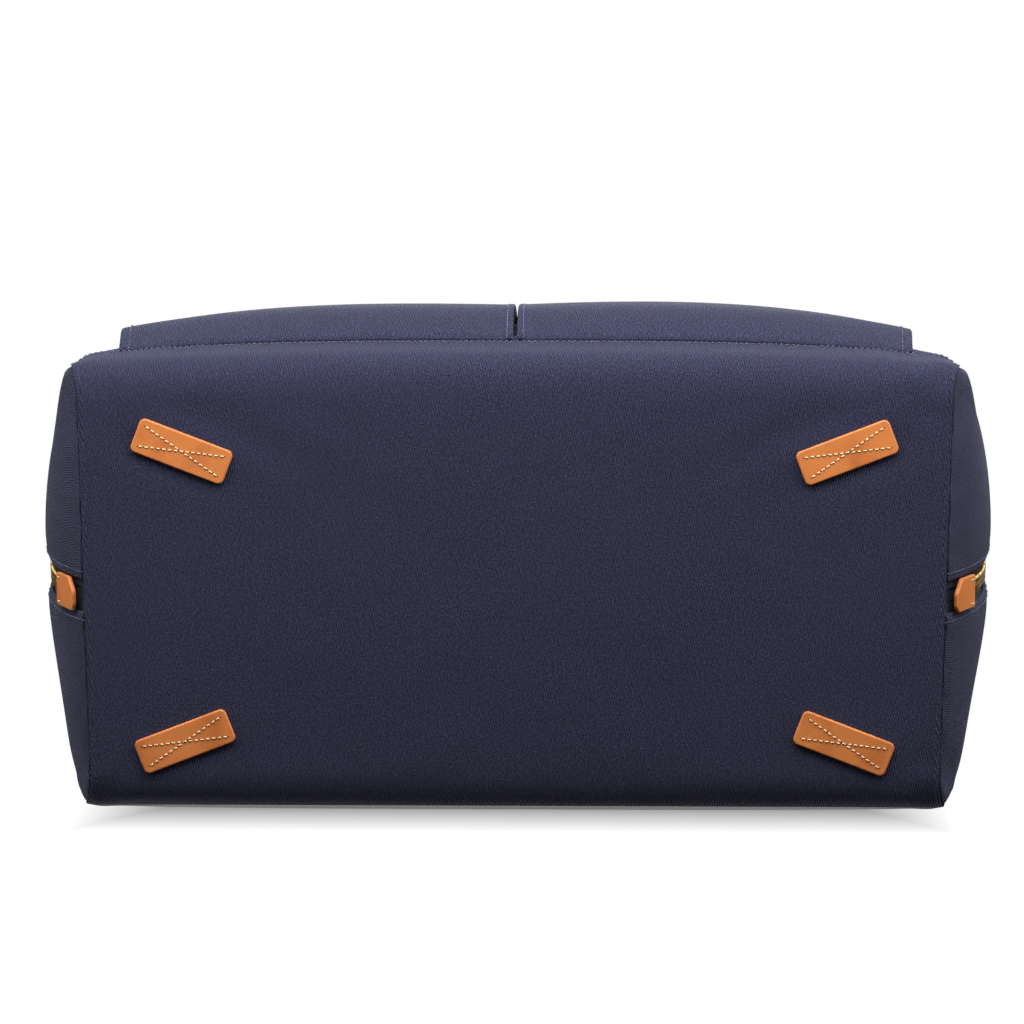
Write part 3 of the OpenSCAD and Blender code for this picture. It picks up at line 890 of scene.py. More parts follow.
bag_thread = Pile()
top_threads = {"front": Pile(), "back": Pile()}
cloth_panel("base_cloth", SKIN["base"], NORMALS["base"], canvas, BASE_EDGES, stands_for=["base_panel"],
            levels=2)
for edge in ("low", "high"):
    edge_stitches(bag_thread, SKIN["base"], edge, BASE_STITCHES, radius=0.00050)
for face in ("front", "back"):
    cloth_panel(f"{face}_cloth", SKIN[face], NORMALS[face], canvas, FACE_EDGES, stands_for=[f"{face}_panel"])
    for edge in ("low", "first", "last"):
        edge_stitches(bag_thread, SKIN[face], edge, FACE_STITCHES)
for side in ("left", "right"):
    for half, part in HALVES.items():
        name = f"{side}_end_{half}_cloth"
        cloth_panel(name, SKIN[side][part], NORMALS[side][part], canvas, END_EDGES[half],
                    stands_for=[f"{side}_end_{half}"])
        edge_stitches(bag_thread, SKIN[side][part], ZIP_EDGE[half], ZIP_STITCHES)
for half, part in HALVES.items():
    cloth_panel(f"{half}_top_cloth", SKIN["top"][part], NORMALS["top"][part], canvas, TOP_EDGES[half],
                body=f"{half}_top", stands_for=[f"{half}_flap"])
    edge_stitches(top_threads[half], SKIN["top"][part], ZIP_EDGE[half], ZIP_STITCHES)

bag_thread.build("canvas_stitching", navy_thread, "bag", "navy_canvas")
for half, thread_pile in top_threads.items():
    thread_pile.build(f"{half}_top_stitching", navy_thread, f"{half}_top", "navy_canvas")


# ---------- Lining and board ----------

LINING_GAP = 0.0042
LINING_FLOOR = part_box("lining")[0][2] + 0.0012


def lining_panel(name, grid, normals):
    """A lining panel inside a canvas one, no lower than the floor over the board."""
    inner = grid - normals * LINING_GAP
    inner[..., 2] = np.maximum(inner[..., 2], LINING_FLOOR)
    return cloth_panel(name, inner, normals, lining_cloth, {}, thickness=THIN_CLOTH)


lining_base = lining_panel("lining_base", SKIN["base"], NORMALS["base"])
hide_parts("lining")
for face in ("front", "back"):
    lining_panel(f"lining_{face}", SKIN[face], NORMALS[face])
for side in ("left", "right"):
    lining_panel(f"lining_{side}_front", SKIN[side][:, :MIDDLE - 1], NORMALS[side][:, :MIDDLE - 1])
    lining_panel(f"lining_{side}_back", SKIN[side][:, MIDDLE + 2:], NORMALS[side][:, MIDDLE + 2:])
for half, part in (("front", np.s_[1:-1, 1:MIDDLE - 1]), ("back", np.s_[1:-1, MIDDLE + 2:-1])):
    facing = SKIN["top"][part] - NORMALS["top"][part] * LINING_GAP
    cloth_panel(f"{half}_top_lining", facing, NORMALS["top"][part], lining_cloth, {}, body=f"{half}_top",
                stands_for=[f"{half}_flap_lining"], thickness=THIN_CLOTH)
board_slots = frame["nodes"]["base_board"].data.materials
board_slots.clear()
board_slots.append(board)


# ---------- Solid shapes ----------

def rounded_box(width, height, radius, steps=5):
    """Outline of a rectangle with round corners, anticlockwise round the origin."""
    corners = ((1, 1, 0), (-1, 1, 90), (-1, -1, 180), (1, -1, 270))
    points = []
    for x, y, start in corners:
        for k in range(steps + 1):
            angle = math.radians(start + 90 * k / steps)
            points.append([x * (width / 2 - radius) + radius * math.cos(angle),
                           y * (height / 2 - radius) + radius * math.sin(angle)])
    return np.array(points)


def rounded_polygon(corners, radius, steps=4):
    """Outline of a polygon whose corners are rounded."""
    corners = np.asarray(corners, float)
    points = []
    for k, corner in enumerate(corners):
        before = unit(corners[k - 1] - corner)
        after = unit(corners[(k + 1) % len(corners)] - corner)
        for t in np.linspace(0, 1, steps + 1):
            points.append(bend_point(corner + before * radius, corner, corner + after * radius, t))
    return np.array(points)


def inset(outline, amount):
    """A convex outline moved inwards."""
    ahead = unit(np.roll(outline, -1, axis=0) - outline)
    behind = unit(outline - np.roll(outline, 1, axis=0))
    both = ahead + behind
    turn = 1 + np.sum(ahead * behind, axis=1, keepdims=True)
    return outline + np.stack([-both[:, 1], both[:, 0]], axis=1) / turn * amount


def slab(outline, thickness, bevel):
    """A flat piece with rounded edges: points in its own frame, and faces."""
    turns = np.linspace(0, math.pi / 2, 4)
    arc = [(bevel * (1 - math.cos(a)), bevel * (1 - math.sin(a))) for a in turns]
    levels = arc[::-1] + [(amount, thickness - z) for amount, z in arc] + [(bevel * 1.6, thickness)]
    rings = [np.column_stack([inset(outline, amount), np.full(len(outline), z)]) for amount, z in levels]
    return np.concatenate(rings), tube_faces(len(rings), len(outline))


def placed(points, origin, x_way, y_way):
    """Points of a piece's own frame put at origin, with its x and y along the given ways."""
    x_way, y_way = unit(x_way), unit(y_way)
    y_way = unit(y_way - x_way * np.dot(x_way, y_way))
    z_way = np.cross(x_way, y_way)
    return np.asarray(origin) + points[:, :1] * x_way + points[:, 1:2] * y_way + points[:, 2:3] * z_way


def sweep(path, outlines, up, closed=False):
    """Points and faces of a shape drawn along a path; each outline's second axis points towards up."""
    path = np.asarray(path, float)
    if closed:
        tangent = unit(np.roll(path, -1, axis=0) - np.roll(path, 1, axis=0))
    else:
        tangent = unit(np.gradient(path, axis=0))
    up = np.broadcast_to(np.asarray(up, float), path.shape)
    side = unit(np.cross(tangent, up))
    up = np.cross(side, tangent)
    outlines = np.broadcast_to(outlines, (len(path), *np.shape(outlines)[-2:]))
    rings = path[:, None] + side[:, None] * outlines[..., :1] + up[:, None] * outlines[..., 1:]
    around = rings.shape[1]
    if closed:
        count = len(path) * around
        quads = grid_faces(len(path) + 1, around, close=True)
        return rings.reshape(-1, 3), [tuple(k % count for k in quad)[::-1] for quad in quads]
    return rings.reshape(-1, 3), ring_faces(len(path), around)


def circle(radius, steps=12):
    """Outline of a circle."""
    angles = np.arange(steps) * 2 * math.pi / steps
    return np.stack([np.cos(angles), np.sin(angles)], axis=1) * radius


def piece(name, points, faces, material, body, stands_for=(), levels=0):
    """A solid piece that rides on a body."""
    obj = new_object(name, points, faces, material)
    if levels:
        add_modifier(obj, "SUBSURF", levels=levels, render_levels=levels)
        apply_modifiers(obj)
    if stands_for:
        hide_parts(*stands_for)
    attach(obj, body)
    return obj


# ---------- Feet ----------

FOOT_LENGTH = 0.058
FOOT_WIDTH = 0.021
FOOT_THICK = 0.0029
FOOT_ANGLE = 21.0
CROSS_INSET = (0.0040, 0.0042)
CROSS_PITCH = 0.0035
HOLE_RADIUS = 0.00042


def hole(pile, centre, x_way, y_way):
    """A needle hole: a small dish on the leather, coloured dark brown as painted shade in the hole."""
    rim = np.column_stack([circle(HOLE_RADIUS, 8), np.full(8, 0.00003)])
    floor = np.column_stack([circle(HOLE_RADIUS * 0.45, 8), np.full(8, 0.00009)])
    faces = grid_faces(2, 8, close=True) + [tuple(8 + k for k in range(8))]
    pile.add(placed(np.concatenate([rim, floor]), centre, x_way, y_way), faces)


def foot(name, corner_x, corner_y):
    """Leather foot, sewn on with a cross of cream thread, its lower face looking down."""
    low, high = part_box(name)
    centre = np.array([(low[0] + high[0]) / 2, (low[1] + high[1]) / 2, BASE_Z])
    angle = math.radians(FOOT_ANGLE * corner_x * corner_y)
    x_way = np.array([math.cos(angle), math.sin(angle), 0])
    y_way = np.array([math.sin(angle), -math.cos(angle), 0])
    points, faces = slab(rounded_box(FOOT_LENGTH, FOOT_WIDTH, 0.0035), FOOT_THICK, 0.0008)
    piece(name + "_leather", placed(points, centre, x_way, y_way), faces, tan, "bag", [name])
    thread_pile, holes = Pile(), Pile()
    reach_x, reach_y = FOOT_LENGTH / 2 - CROSS_INSET[0], FOOT_WIDTH / 2 - CROSS_INSET[1]
    down = np.tile([0.0, 0.0, -1.0], (2, 1))
    for turn in (-1, 1):
        ends = np.array([[-reach_x, -turn * reach_y, FOOT_THICK], [reach_x, turn * reach_y, FOOT_THICK]])
        line = placed(ends, centre, x_way, y_way)
        stitch_row(thread_pile, line, down, pitch=CROSS_PITCH, share=0.72, wander=0.0002)
        for spot in resample(line, CROSS_PITCH):
            hole(holes, spot, x_way, y_way)
    thread_pile.build(name + "_stitches", cream_thread, "bag", "tan_leather")
    holes.build(name + "_needle_holes", painted_hole_shade, "bag", "tan_leather")


for face, corner_y in (("front", -1), ("back", 1)):
    for side, corner_x in (("left", -1), ("right", 1)):
        foot(f"foot_{face}_{side}", corner_x, corner_y)


# ---------- Pockets ----------

POCKET_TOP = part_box("left_pocket")[1][2]
POCKET_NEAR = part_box("right_pocket")[0][0] - 0.0012
POCKET_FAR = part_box("right_pocket")[1][0]
POCKET_ROOM = 0.0101
POCKET_FLANGE = 0.0016
POCKET_FILL = {"left": 0.0012, "right": 0.0029}
FACE_COLUMNS = np.s_[3:-5]
POCKET_STITCHES = 0.0030
HEM_STITCHES = (0.0050, 0.0240)


def panel_point(face, x, z):
    """Point and normal of the front or back panel at x, on its line that has height z in the middle."""
    grid, normals = SKIN[face], NORMALS[face]
    heights = grid[:, grid.shape[1] // 2, 2]
    row = float(np.interp(z, heights, np.arange(len(heights))))
    i = min(int(row), len(heights) - 2)
    part = row - i
    line = grid[i] * (1 - part) + grid[i + 1] * part
    ways = normals[i] * (1 - part) + normals[i + 1] * part
    point = np.array([x, np.interp(x, line[:, 0], line[:, 1]), np.interp(x, line[:, 0], line[:, 2])])
    return point, unit(np.array([np.interp(x, line[:, 0], ways[:, k]) for k in range(3)]))


def pocket_columns():
    """Columns across a pocket from the slit outwards, as [x, share of its depth]."""
    near, far = POCKET_NEAR, POCKET_FAR
    tip = far + POCKET_FLANGE
    turned_in = [(near + 0.003, 0.04), (near + 0.0012, 0.75), (near, 0.98), (near + 0.0012, 1.12)]
    xs = [near + 0.004, *np.linspace(near + 0.010, far - 0.008, 25), far - 0.002]
    flange = [(tip - 0.0015, 1.05), (tip, 0.97), (tip - 0.0015, 0.86), (far - 0.001, 0.75), (far, 0.04)]
    return turned_in + [(x, 1.04) for x in xs] + flange


def pocket_rise(z, up_share):
    """How far a pocket stands off the panel at height z: nothing at the seam, most at its middle."""
    rise = float(smooth(z, SEAM_Z - 0.004, SEAM_Z + 0.038)) * (1 - 0.30 * float(smooth(up_share, 0.55, 1.0)))
    lift = 0.0004 + 0.0012 * float(smooth(z, SEAM_Z, SEAM_Z + 0.008))
    return rise, lift


def pocket(side):
    """Patch pocket with a little depth at its sides, a turned hem at its mouth and topstitched edges."""
    way = -1 if side == "left" else 1
    zs = np.concatenate([[SEAM_Z + 0.0005, SEAM_Z + 0.004], np.linspace(SEAM_Z + 0.011, POCKET_TOP, 19)])
    grid, normals = [], []
    for z in zs:
        up_share = (z - zs[0]) / (zs[-1] - zs[0])
        rise, lift = pocket_rise(z, up_share)
        puff_here = POCKET_FILL[side] * math.sin(math.pi * up_share) ** 0.7
        row, row_normals = [], []
        for x, share in pocket_columns():
            along = min(max((x - POCKET_NEAR) / (POCKET_FAR - POCKET_NEAR), 0), 1)
            puff = puff_here * math.sin(math.pi * along) ** 0.8 if share > 1 else 0
            point, normal = panel_point("front", way * x, z)
            row.append(point + normal * (lift + POCKET_ROOM * rise * share + puff))
            row_normals.append(normal)
        grid.append(row)
        normals.append(row_normals)
    grid, normals = np.array(grid), np.array(normals)
    face = grid[:, FACE_COLUMNS]
    if side == "left":
        grid, normals, face = grid[:, ::-1], normals[:, ::-1], face[:, ::-1]
    edges = {"low": "seam", "high": "fold"}
    cloth_panel(f"{side}_pocket_cloth", grid, normals, canvas, edges, stands_for=[f"{side}_pocket"])
    pile = Pile()
    for edge in ("first", "last"):
        edge_stitches(pile, face, edge, POCKET_STITCHES, wander=0.00025)
    for distance in HEM_STITCHES:
        edge_stitches(pile, face, "high", distance)
    pile.build(f"{side}_pocket_stitching", navy_thread, "bag", "navy_canvas")


pocket("left")
pocket("right")


# ---------- Zip ----------

TAPE_DEPTH = 0.0026
TOOTH_DEPTH = 0.0036
TOOTH_PITCH = 0.0040
TOOTH_HALF = 0.21 * TOOTH_PITCH
TOOTH_REACH = 0.0049
TOOTH_OVERLAP = 0.0008
TAPE_SHARES = (1.62, 1.3, 1.0, 0.75, 0.42)
TAPE_ROWS = np.s_[1:]
TEETH_ROWS = np.s_[5:]
ZIP_END_ROWS = np.s_[1:8]
ZIP_END_DEPTH = TAPE_DEPTH + 0.0010
ZIP_SIDES = {"front": -1, "back": 1}


def zip_band(grid, normals, rows, half, shares, depth):
    """Points and normals of a band along the zip, at shares of the way to the edge of the cloth beside it."""
    middle, edge, up = grid[rows, MIDDLE], grid[rows, MIDDLE + half], normals[rows, MIDDLE]
    band = np.stack([middle + (edge - middle) * share - up * depth for share in shares], axis=1)
    return band, np.repeat(up[:, None], len(shares), axis=1)


def tape(name, grid, normals, half, rows, body, stands_for=()):
    """Half of the zip tape, along a grid's middle column; half is -1 for the front and 1 for the back."""
    shares = TAPE_SHARES if half < 0 else TAPE_SHARES[::-1]
    band, ups = zip_band(grid, normals, rows, half, shares, TAPE_DEPTH)
    cloth_panel(name, band, ups, tape_cloth, {}, body=body, stands_for=stands_for,
                thickness=TAPE_CLOTH)


def zip_end(side):
    """Cloth behind the last teeth, which closes the gap between the two tapes at the lower end of the zip."""
    band, ups = zip_band(SKIN[side], NORMALS[side], ZIP_END_ROWS, 1, (-0.7, 0.0, 0.7), ZIP_END_DEPTH)
    cloth_panel(f"{side}_zip_end_cloth", band, ups, tape_cloth, {}, thickness=TAPE_CLOTH)


def tooth_shape():
    """One zip tooth in its own frame: x along the zip, y from its root to its head."""
    half, head = TOOTH_HALF, TOOTH_REACH * 0.86
    tip = TOOTH_REACH + TOOTH_OVERLAP
    right = [(half * 0.9, 0.0), (half, 0.0022), (half * 0.62, 0.0033), (half * 1.12, head), (half * 0.5, tip)]
    outline = np.array([(-x, y) for x, y in right[:1]] + right + [(-x, y) for x, y in right[:0:-1]])
    outline[:, 1] -= TOOTH_REACH
    levels = ((0.80, 0.0), (1.0, 0.0004), (1.0, 0.0024), (0.80, 0.0028))
    middle = np.array([0.0, -TOOTH_REACH / 2])
    rings = [np.column_stack([middle + (outline - middle) * share, np.full(len(outline), z)])
             for share, z in levels]
    return np.concatenate(rings), tube_faces(len(rings), len(outline))


TOOTH_POINTS, TOOTH_FACES = tooth_shape()


def teeth(pile, middle, normals, half):
    """A row of teeth on one side of the zip's middle line; half is -1 for the front and 1 for the back."""
    fine = resample(np.concatenate([middle, normals], axis=1), TOOTH_PITCH / 2)
    spots, ups = fine[:, :3], unit(fine[:, 3:])
    ways = unit(np.gradient(spots, axis=0))
    for k in range(1 if half > 0 else 0, len(spots), 2):
        head = np.cross(ups[k], ways[k])
        head = head if head[1] * half < 0 else -head
        x_way = np.cross(head, ups[k])
        pile.add(placed(TOOTH_POINTS, spots[k] - ups[k] * TOOTH_DEPTH, x_way, head), TOOTH_FACES)


for side in ("left", "right"):
    zip_end(side)
for side in ("left", "right"):
    pile = Pile()
    for face, half in ZIP_SIDES.items():
        stands_for = [f"{side}_zip_tape"] if half < 0 else ()
        tape(f"{side}_zip_tape_{face}", SKIN[side], NORMALS[side], half, TAPE_ROWS, "bag", stands_for)
        teeth(pile, SKIN[side][TEETH_ROWS, MIDDLE], NORMALS[side][TEETH_ROWS, MIDDLE], half)
    pile.build(f"{side}_zip_teeth_brass", brass, "bag", "brass", [f"{side}_zip_teeth"])
for face, half in ZIP_SIDES.items():
    body = f"{face}_top"
    tape(f"{body}_zip_tape", SKIN["top"], NORMALS["top"], half, np.s_[:], body, [f"{face}_flap_tape"])
    pile = Pile()
    teeth(pile, SKIN["top"][:, MIDDLE], NORMALS["top"][:, MIDDLE], half)
    pile.build(f"{body}_zip_teeth", brass, body, "brass", [f"{face}_flap_teeth"])


# ---------- Leather tabs over the ends of the zip ----------

TAB_THICK = 0.0026
TAB_OUT = 0.0016
TAB_UP = 0.0022
TAB_SPARE = 0.0007
TAB_STITCH_SHARES = (0.74, 0.48, 0.88)


def zip_tab(side):
    """Folded leather tab over the lower end of the zip, with its lower front corner cut off."""
    name = f"{side}_zip_tab"
    way = -1 if side == "left" else 1
    low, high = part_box(name)
    half = (high[1] - low[1]) / 2 - TAB_SPARE
    length = high[2] - low[2]
    line = SKIN[side][:len(LOW_ROWS), MIDDLE + 1]
    bottom, top = (np.array([np.interp(z, line[:, 2], line[:, 0]), ZIP_Y, z]) for z in (low[2], high[2]))
    up_way = unit(top - bottom)
    y_way = np.array([0.0, 1.0 * way, 0.0])
    out = np.cross(y_way, up_way)
    corners = [(-half, 0.0085), (-half + 0.008, 0.0), (half - 0.003, 0.0), (half, 0.003), (half, length),
               (-half, length)]
    outline = rounded_polygon(corners, 0.0016) - [0.0, length / 2]
    if side == "left":
        outline = (outline * [-1, 1])[::-1]
    points, faces = slab(outline, TAB_THICK, 0.0006)
    origin = (bottom + top) / 2 + out * TAB_OUT + up_way * TAB_UP
    piece(f"{name}_leather", placed(points, origin, y_way, up_way), faces, tan, "bag", [name])
    pile = Pile()
    across, lowest, highest = TAB_STITCH_SHARES
    face = origin + out * TAB_THICK
    for y in (-across * half, across * half):
        ends = [face + np.array([0, y, 0]) + up_way * share * length / 2 for share in (highest, lowest)]
        stitch_row(pile, np.array(ends), np.array([out, out]), pitch=0.0030, radius=0.0004)
    pile.build(f"{name}_stitches", cream_thread, "bag", "tan_leather")


zip_tab("left")
zip_tab("right")


# ---------- Handles ----------

WIRE = 0.0020
RING_WIDTH = 0.030
RING_HEIGHT = 0.022
RING_CORNER = 0.005
LEG_WIDTH = 0.022
LEG_THICK = 0.0046
GRIP_RADIUS = 0.009
ARCH_RADIUS = 0.070
HANDLE_LEAN = math.radians(7.0)
LOOP_WIDTH = 0.018
LOOP_LEATHER = 0.0024
TAB_WIDTH = 0.024
TAB_DROP = 0.034
LEG_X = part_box("front_handle_rings")[1][0] - WIRE - RING_WIDTH / 2
LEG_SEAM = 0.0028
TAB_SEAM = 0.0026
LOOP_RADIUS = WIRE + LOOP_LEATHER / 2 + 0.0001
LOOP_OUTLINE = rounded_box(LOOP_WIDTH, LOOP_LEATHER, 0.0007, 3)
TAB_OUTLINE = rounded_box(TAB_WIDTH, LOOP_LEATHER, 0.0007, 3)
DOME = ((0.0037, 0.0), (0.0037, 0.0005), (0.0030, 0.0013), (0.0018, 0.0018), (0.0007, 0.0020))


def ring(width, height, corner, wire):
    """Points and faces of a wire ring in the XZ plane, with the middle of its lower bar at the origin."""
    outline = rounded_box(width, height, corner, steps=7)
    path = np.column_stack([outline[:, 0], np.zeros(len(outline)), outline[:, 1] + height / 2])
    dense = resample(np.concatenate([path, path[:1]]), 0.0016)[:-1]
    return sweep(dense, circle(wire), [0.0, 1.0, 0.0], closed=True)


def leg_sections(share):
    """Outlines from a flat leg to the round grip, by the share of roundness at each point."""
    flat = rounded_box(LEG_WIDTH, LEG_THICK, 0.0013, steps=5)
    angles = np.arctan2(flat[:, 1] / LEG_THICK, flat[:, 0] / LEG_WIDTH)
    round_one = np.stack([np.cos(angles), np.sin(angles)], axis=1) * GRIP_RADIUS
    share = share[:, None, None]
    return flat * (1 - share) + round_one * share


def ring_loop(x):
    """Path, in the handle's own frame, of the leather that is folded round a ring's upper bar."""
    near, far = WIRE + LOOP_LEATHER / 2, 0.0012
    legs = [np.array([[x, side * (near * (1 - t) + far * t), RING_HEIGHT + 0.0125 * t]
                      for t in np.linspace(0, 1, 6)]) for side in (-1, 1)]
    under = [[x, -LOOP_RADIUS * math.cos(a), RING_HEIGHT - LOOP_RADIUS * math.sin(a)]
             for a in np.linspace(0, math.pi, 14)[1:]]
    return np.concatenate([legs[0][::-1], under, legs[1]])


def handle(face):
    """Carrying handle: two flat legs folded round their rings, which turn into a rolled and sewn grip."""
    side = -1 if face == "front" else 1
    pivot = np.array(JOINTS[f"{face}_handle_swing"]["pos_m"])
    top = np.array([0.0, -side * math.sin(HANDLE_LEAN), math.cos(HANDLE_LEAN)])
    out = np.array([0.0, side * math.cos(HANDLE_LEAN), math.sin(HANDLE_LEAN)])
    body = f"{face}_grip"
    rise = (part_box(f"{face}_handle")[1][2] - pivot[2] - GRIP_RADIUS) / math.cos(HANDLE_LEAN)
    shoulder = rise - ARCH_RADIUS
    leg_low = RING_HEIGHT + 0.004

    def put(points):
        points = np.asarray(points)
        return pivot + points[:, :1] * [1.0, 0.0, 0.0] + points[:, 1:2] * out + points[:, 2:3] * top

    corner = [[LEG_X - ARCH_RADIUS + ARCH_RADIUS * math.cos(a), 0, shoulder + ARCH_RADIUS * math.sin(a)]
              for a in np.linspace(0, math.pi / 2, 24)]
    half = [[LEG_X, 0, z] for z in np.linspace(leg_low, shoulder, 22)[:-1]] + corner
    path = resample(np.array(half + [[-x, y, z] for x, y, z in half[::-1]]), 0.004)
    share = smooth(path[:, 2] - leg_low, shoulder - leg_low - 0.030, shoulder - leg_low + 0.004)
    share = np.where(np.abs(path[:, 0]) < LEG_X - 0.02, 1.0, share)
    pile = Pile()
    pile.add(*sweep(put(path), leg_sections(share), out))
    for x in (-LEG_X, LEG_X):
        loop = put(ring_loop(x))
        pile.add(*sweep(loop, LOOP_OUTLINE, np.cross([1.0, 0, 0], np.gradient(loop, axis=0))))
    pile.build(f"{face}_handle_leather", tan, body, "tan_leather", [f"{face}_handle", f"{face}_handle_core"])

    seam = Pile()
    heights = np.linspace(leg_low + 0.003, shoulder - 0.032, 12)
    for x in (-LEG_X, LEG_X):
        for edge in (-1, 1):
            for layer in (-1, 1):
                spots = [[x + edge * (LEG_WIDTH / 2 - LEG_SEAM), layer * LEG_THICK / 2, z] for z in heights]
                stitch_row(seam, put(spots), np.tile(out * layer, (12, 1)), pitch=0.0038)
    grip = path[share > 0.97]
    ways = unit(np.array([0.0, 0.0, shoulder]) - grip)
    stitch_row(seam, put(grip + ways * GRIP_RADIUS), put(ways) - pivot, pitch=0.0040, radius=0.00045)
    seam.build(f"{face}_handle_stitches", cream_thread, body, "tan_leather")

    rings = Pile()
    for x in (-LEG_X, LEG_X):
        points, faces = ring(RING_WIDTH, RING_HEIGHT, RING_CORNER, WIRE)
        rings.add(put(points + [x, 0.0, 0.0]), faces)
    rings.build(f"{face}_handle_wire_rings", brass, body, "brass", [f"{face}_handle_rings"])


def tab_path(face, side, x, pivot):
    """Path of a leather tab, up the panel, round its ring's lower bar and down inside, and its outer leg."""
    outer, inner = [], []
    for t in np.linspace(0, 1, 9):
        z = pivot[2] - TAB_DROP + t * (TAB_DROP - 0.012)
        point, normal = panel_point(face, x, z)
        point[2] = z
        inner.append(point + normal * (0.0005 + LOOP_LEATHER / 2))
        outer.append(point + normal * (0.0006 + LOOP_LEATHER * 1.5))
    bar = pivot + [x, 0, 0]
    over = [bar + np.array([0, side * LOOP_RADIUS * math.cos(a), LOOP_RADIUS * math.sin(a)])
            for a in np.linspace(-0.5, math.pi + 0.35, 16)]
    return resample(np.array(outer + over + inner[::-1]), 0.0022), np.array(outer)


def handle_tabs(face):
    """Leather tabs sewn and riveted to a panel, each folded round the lower bar of a ring."""
    side = -1 if face == "front" else 1
    pivot = np.array(JOINTS[f"{face}_handle_swing"]["pos_m"])
    pile, seam, heads = Pile(), Pile(), Pile()
    aside = np.array([TAB_WIDTH / 2 - TAB_SEAM, 0, 0])
    for x in (-LEG_X, LEG_X):
        path, outer = tab_path(face, side, x, pivot)
        near_bar = smooth(path[:, 2], pivot[2] - 0.014, pivot[2] - 0.006)[:, None, None]
        outlines = TAB_OUTLINE * (1 - near_bar) + LOOP_OUTLINE * near_bar
        pile.add(*sweep(path, outlines, np.cross([1.0, 0.0, 0.0], np.gradient(path, axis=0))))
        ways = np.array([panel_point(face, x, p[2])[1] for p in outer])
        surface = outer + ways * LOOP_LEATHER / 2
        for edge in (-1, 1):
            stitch_row(seam, surface[1:] + edge * aside, ways[1:], pitch=0.0036)
        stitch_row(seam, np.array([surface[1] - aside, surface[1] + aside]), ways[[1, 1]], pitch=0.0036)
        dome = np.concatenate([np.column_stack([circle(r, 20), np.full(20, z)]) for r, z in DOME])
        head = placed(dome, surface[5], [1.0, 0, 0], np.cross(ways[5], [1.0, 0, 0]))
        heads.add(head, tube_faces(len(DOME), 20))
    pile.build(f"{face}_tabs_leather", tan, "bag", "tan_leather", [f"{face}_handle_tabs"])
    seam.build(f"{face}_tabs_stitches", cream_thread, "bag", "tan_leather")
    heads.build(f"{face}_rivet_heads", brass, "bag", "brass", [f"{face}_rivets"])


for face in ("front", "back"):
    handle(face)
    handle_tabs(face)


# ---------- Slider and pull ----------

SLIDER_X, _, LINK_Z = JOINTS["pull_swing"]["pos_m"]
SLIDER_LENGTH = 0.018
SLIDER_WIDTH = 0.013
SLIDER_PLATE = 0.0022
LINK_ARM = 0.012
LINK_HALF = 0.0045
LINK_WIRE = 0.00095
PULL_START = LINK_ARM - 0.0022
PULL_LENGTH = 0.044
PULL_WIDTH = 0.014
PULL_NECK = 0.0032
PULL_THICK = 0.0030
PULL_TILT = math.radians(3.0)


def slider():
    """Zip slider: two rounded plates joined by a wedge, with a wire eye on top."""
    low_z, top_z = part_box("zip_slider")[0][2], LINK_Z - 0.0024
    end, half = SLIDER_LENGTH / 2, SLIDER_WIDTH / 2
    corners = [(-end, -half * 0.72), (end * 0.35, -half), (end, -half * 0.78), (end, -0.0012),
               (end * 0.72, 0.0), (end, 0.0012), (end, half * 0.78), (end * 0.35, half), (-end, half * 0.72)]
    outline = rounded_polygon(corners, 0.0009, steps=3)
    pile = Pile()
    for z in (low_z, top_z - SLIDER_PLATE):
        points, faces = slab(outline, SLIDER_PLATE, 0.0006)
        pile.add(placed(points, [SLIDER_X, ZIP_Y, z], [1, 0, 0], [0, 1, 0]), faces)
    points, faces = slab(rounded_box(0.006, 0.0009, 0.0004, 3), top_z - low_z - SLIDER_PLATE, 0.0001)
    wedge_at = [SLIDER_X + 0.005, ZIP_Y, low_z + SLIDER_PLATE / 2]
    pile.add(placed(points, wedge_at, [1, 0, 0], [0, 1, 0]), faces)
    rise = [(-0.0052, -0.0012), (-0.0048, 0.0014), (-0.0030, 0.0040), (0.0, 0.0049)]
    bow = [[x, 0, z] for x, z in rise + [(-x, z) for x, z in rise[-2::-1]]]
    path = resample(np.array(bow), 0.0008) + [SLIDER_X, ZIP_Y, top_z]
    up = np.cross([0, 1.0, 0], np.gradient(path, axis=0))
    pile.add(*sweep(path, rounded_box(0.0030, 0.0013, 0.0005, 3), up))
    pile.build("zip_slider_brass", brass, "slider", "brass", ["zip_slider"])


